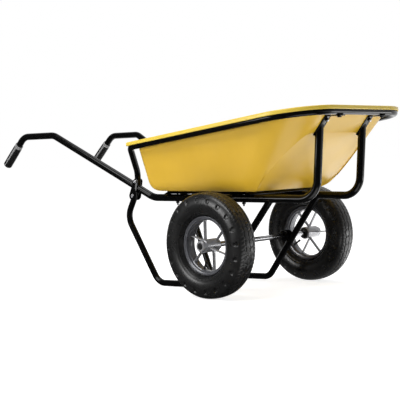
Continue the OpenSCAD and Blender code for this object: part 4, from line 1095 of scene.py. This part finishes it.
def outer_cap(s, name):
    h, room = HUB_HALF, AXLE_STUB + CAP_ROOM
    top = room + CAP_T
    outer = [(WALL_R, h), (CAP_R, h), (CAP_R, h + 2.6), (20.8, h + 3.2), (20.8, h + 5.0), (20.4, top - 4.2),
             (18.9, top - 1.6), (16.6, top - 0.5), (13.4, top - 0.3), (12.9, top - 1.1), (11.2, top - 1.1),
             (10.7, top - 0.2), (6, top), (0, top)]
    inner = [(0, room), (WALL_R, room), (WALL_R, h)]
    solids = [revolve(np.vstack([rounded(outer, 0.5, steps=3, closed=False), inner]), 96)]
    tabs, tab_half, tab_len, tab_r, tab_up = 12, 1.3, 7.5, 20.2, 4.0
    line = rounded([(-tab_half, 0), (tab_half, 0), (tab_half, tab_len), (-tab_half, tab_len)], 0.5, steps=3)
    for out in map(way_at, turns(tabs)):
        place = pose(out * tab_r + (h + tab_up) * Z, np.cross(Z, out), out)
        solids += placed(place, prism(line, h=1.4, edge=0.35))
    mesh = on_wheel(s, name, "outer_cap", CAP, "cap", *solids).data
    # The photo shows a black insert in a ring of the hub's grey
    # The grey ring takes the lighter copy of the wheel paint, painted highlight
    mesh.materials.append(SPOKE_PAINTED_HIGHLIGHT)
    for face in mesh.polygons:
        if math.hypot(face.center[0] - AXLE_X * MM, face.center[2] - AXLE_Z * MM) > CAP_EYE * MM:
            face.material_index = 1


def valve(s, name):
    out, root_r = way_at(math.radians(-149.0)), 106.8
    line = [(0, 0), (4.5, 0), (4.5, 12), (4.3, 20), (3.7, 31), (3.7, 33.5), (4.4, 34), (4.4, 43), (3.2, 44.8),
            (0, 44.8)]
    stem = revolve(rounded(line, 0.5, steps=3, closed=False), 32)
    on_wheel(s, name, "valve", VALVE, "valve", *placed(pose(out * root_r, Z, -out), stem))


# The part

for make in (main_tube, leg):
    for s, name in SIDES:
        make(s, name)
rim_tube()
for s, name in SIDES:
    rear_bracket(s, name)
    nose_strap(s, name)
    axle_saddle(s, name)
for x, name in zip(BAR_X, ("rear_cross_bar", "front_cross_bar")):
    cross_bar(x, name)
axle_pieces()
tray_fasteners()
nose_fasteners()
bracket_fasteners()
tray()
floor_panel()
for s, name in SIDES:
    for make in (grip, tyre, rim, spokes, hub, bearings, inner_cap, outer_cap, valve):
        make(s, name)
for s, name in SIDES:
    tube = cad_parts[name + "_inner_tube"]
    tube.data.materials.clear()
    tube.data.materials.append(TUBE)


# Studio

WHITE = (1, 1, 1, 1)


def area(name, where, target, size, power):
    light = bpy.data.lights.new(name, "AREA")
    light.shape = "RECTANGLE"
    light.size, light.size_y = size
    light.energy = power
    obj = new_object(name, light)
    obj.location = where
    obj.visible_camera = False
    obj.rotation_euler = (Vector(target) - Vector(where)).to_track_quat("-Z", "Y").to_euler()
    return obj


area("key", (-0.5, -2.05, 0.72), (0.42, -0.3, 0.25), (0.8, 0.5), 11)
area("high", (0.1, -2.9, 3.4), (0.2, 0, 0.45), (2.8, 1.6), 92)
area("low", (1.06, -0.25, 0.02), (1.0, -0.22, 1.0), (0.5, 0.5), 1.5)
area("top", (0.2, 0.4, 4.2), (0.2, 0, 0.3), (3.2, 2.6), 66)
area("bounce", (0.7, 0.8, 0.02), (0.7, 0.76, 1.0), (1.2, 0.7), 5.0)
card = area("sweep", (1.8, 1.4, 0.02), (1.7, 1.3, 1.0), (1.3, 1.3), 32)
card.visible_diffuse = False


def by_ray(tree, other, mirrored, camera):
    """A value that depends on the kind of ray, and 1 where a ray is mirrored or refracted."""
    path = add_node(tree, "LightPath", {}).outputs
    rays = {0: path["Is Glossy Ray"], 1: path["Is Transmission Ray"]}
    mirror = add_node(tree, "Math", rays, operation="MAXIMUM").outputs["Value"]
    return choose(tree, path["Is Camera Ray"], choose(tree, mirror, other, mirrored), camera), mirror


def backdrop():
    """White to the camera. For other rays the side that lies behind the camera is dim."""
    far_side = (-0.25, 0.968, 0.0)
    world = bpy.data.worlds.new("studio")
    bpy.context.scene.world = world
    world.use_nodes = True
    tree = world.node_tree
    where = add_node(tree, "TexCoord", {}).outputs["Generated"]
    facing = add_node(tree, "VectorMath", {0: where, 1: far_side}, operation="DOT_PRODUCT").outputs["Value"]
    lit = spread(tree, facing, low=0.12, high=0.5, start=-0.4, end=0.6)
    seen = spread(tree, facing, low=0.05, high=1.0, start=0.1, end=0.85)
    strength, _ = by_ray(tree, lit, seen, camera=1.0)
    feed(tree, tree.nodes["Background"], {"Color": WHITE, "Strength": strength})


def paper_floor():
    """Pale paper that keeps the shadow. Reflections show it brighter away from the camera."""
    reach = 30.0
    mesh = bpy.data.meshes.new("floor")
    mesh.from_pydata([(-reach, -reach, 0), (reach, -reach, 0), (reach, reach, 0), (-reach, reach, 0)], [],
                     [(0, 1, 2, 3)])
    floor = new_object("floor", mesh)
    m, tree, bsdf, where = new_material("floor_paper")
    place = add_node(tree, "SeparateXYZ", {"Vector": where})
    far = spread(tree, place.outputs["Y"], low=0.04, high=1.0, start=0.1, end=0.9)
    glow, mirror = by_ray(tree, 0.0, far, camera=0.8)
    drift = spread(tree, noise(tree, where, scale=3), 0.0, 1.0)
    paper = blend(tree, drift, (0.8, 0.8, 0.8), (0.82, 0.82, 0.82))
    feed(tree, bsdf, {
        "Base Color": blend(tree, mirror, paper, (0.0, 0.0, 0.0)), "Roughness": 0.9,
        "Specular IOR Level": 0.0, "Emission Color": WHITE, "Emission Strength": glow})
    mesh.materials.append(m)


def photo_camera():
    """The camera that was fitted to the photo."""
    place, ahead = (2.925863, -2.9538, 0.5516), (-0.69067, 0.72149, -0.04919)
    right, up = (0.72305, 0.69017, -0.02925), (-0.01284, 0.05577, 0.99836)
    camera = bpy.data.cameras.new("camera")
    camera.lens = 88.03
    camera.sensor_width = 36.0
    camera.shift_x = -0.0055
    camera.shift_y = -0.0012
    eye = new_object("camera", camera)
    turn = Matrix([[right[k], up[k], -ahead[k]] for k in range(3)])
    eye.matrix_world = Matrix.Translation(place) @ turn.to_4x4()
    bpy.context.scene.camera = eye


backdrop()
paper_floor()
photo_camera()
bpy.context.scene.view_settings.view_transform = "Standard"
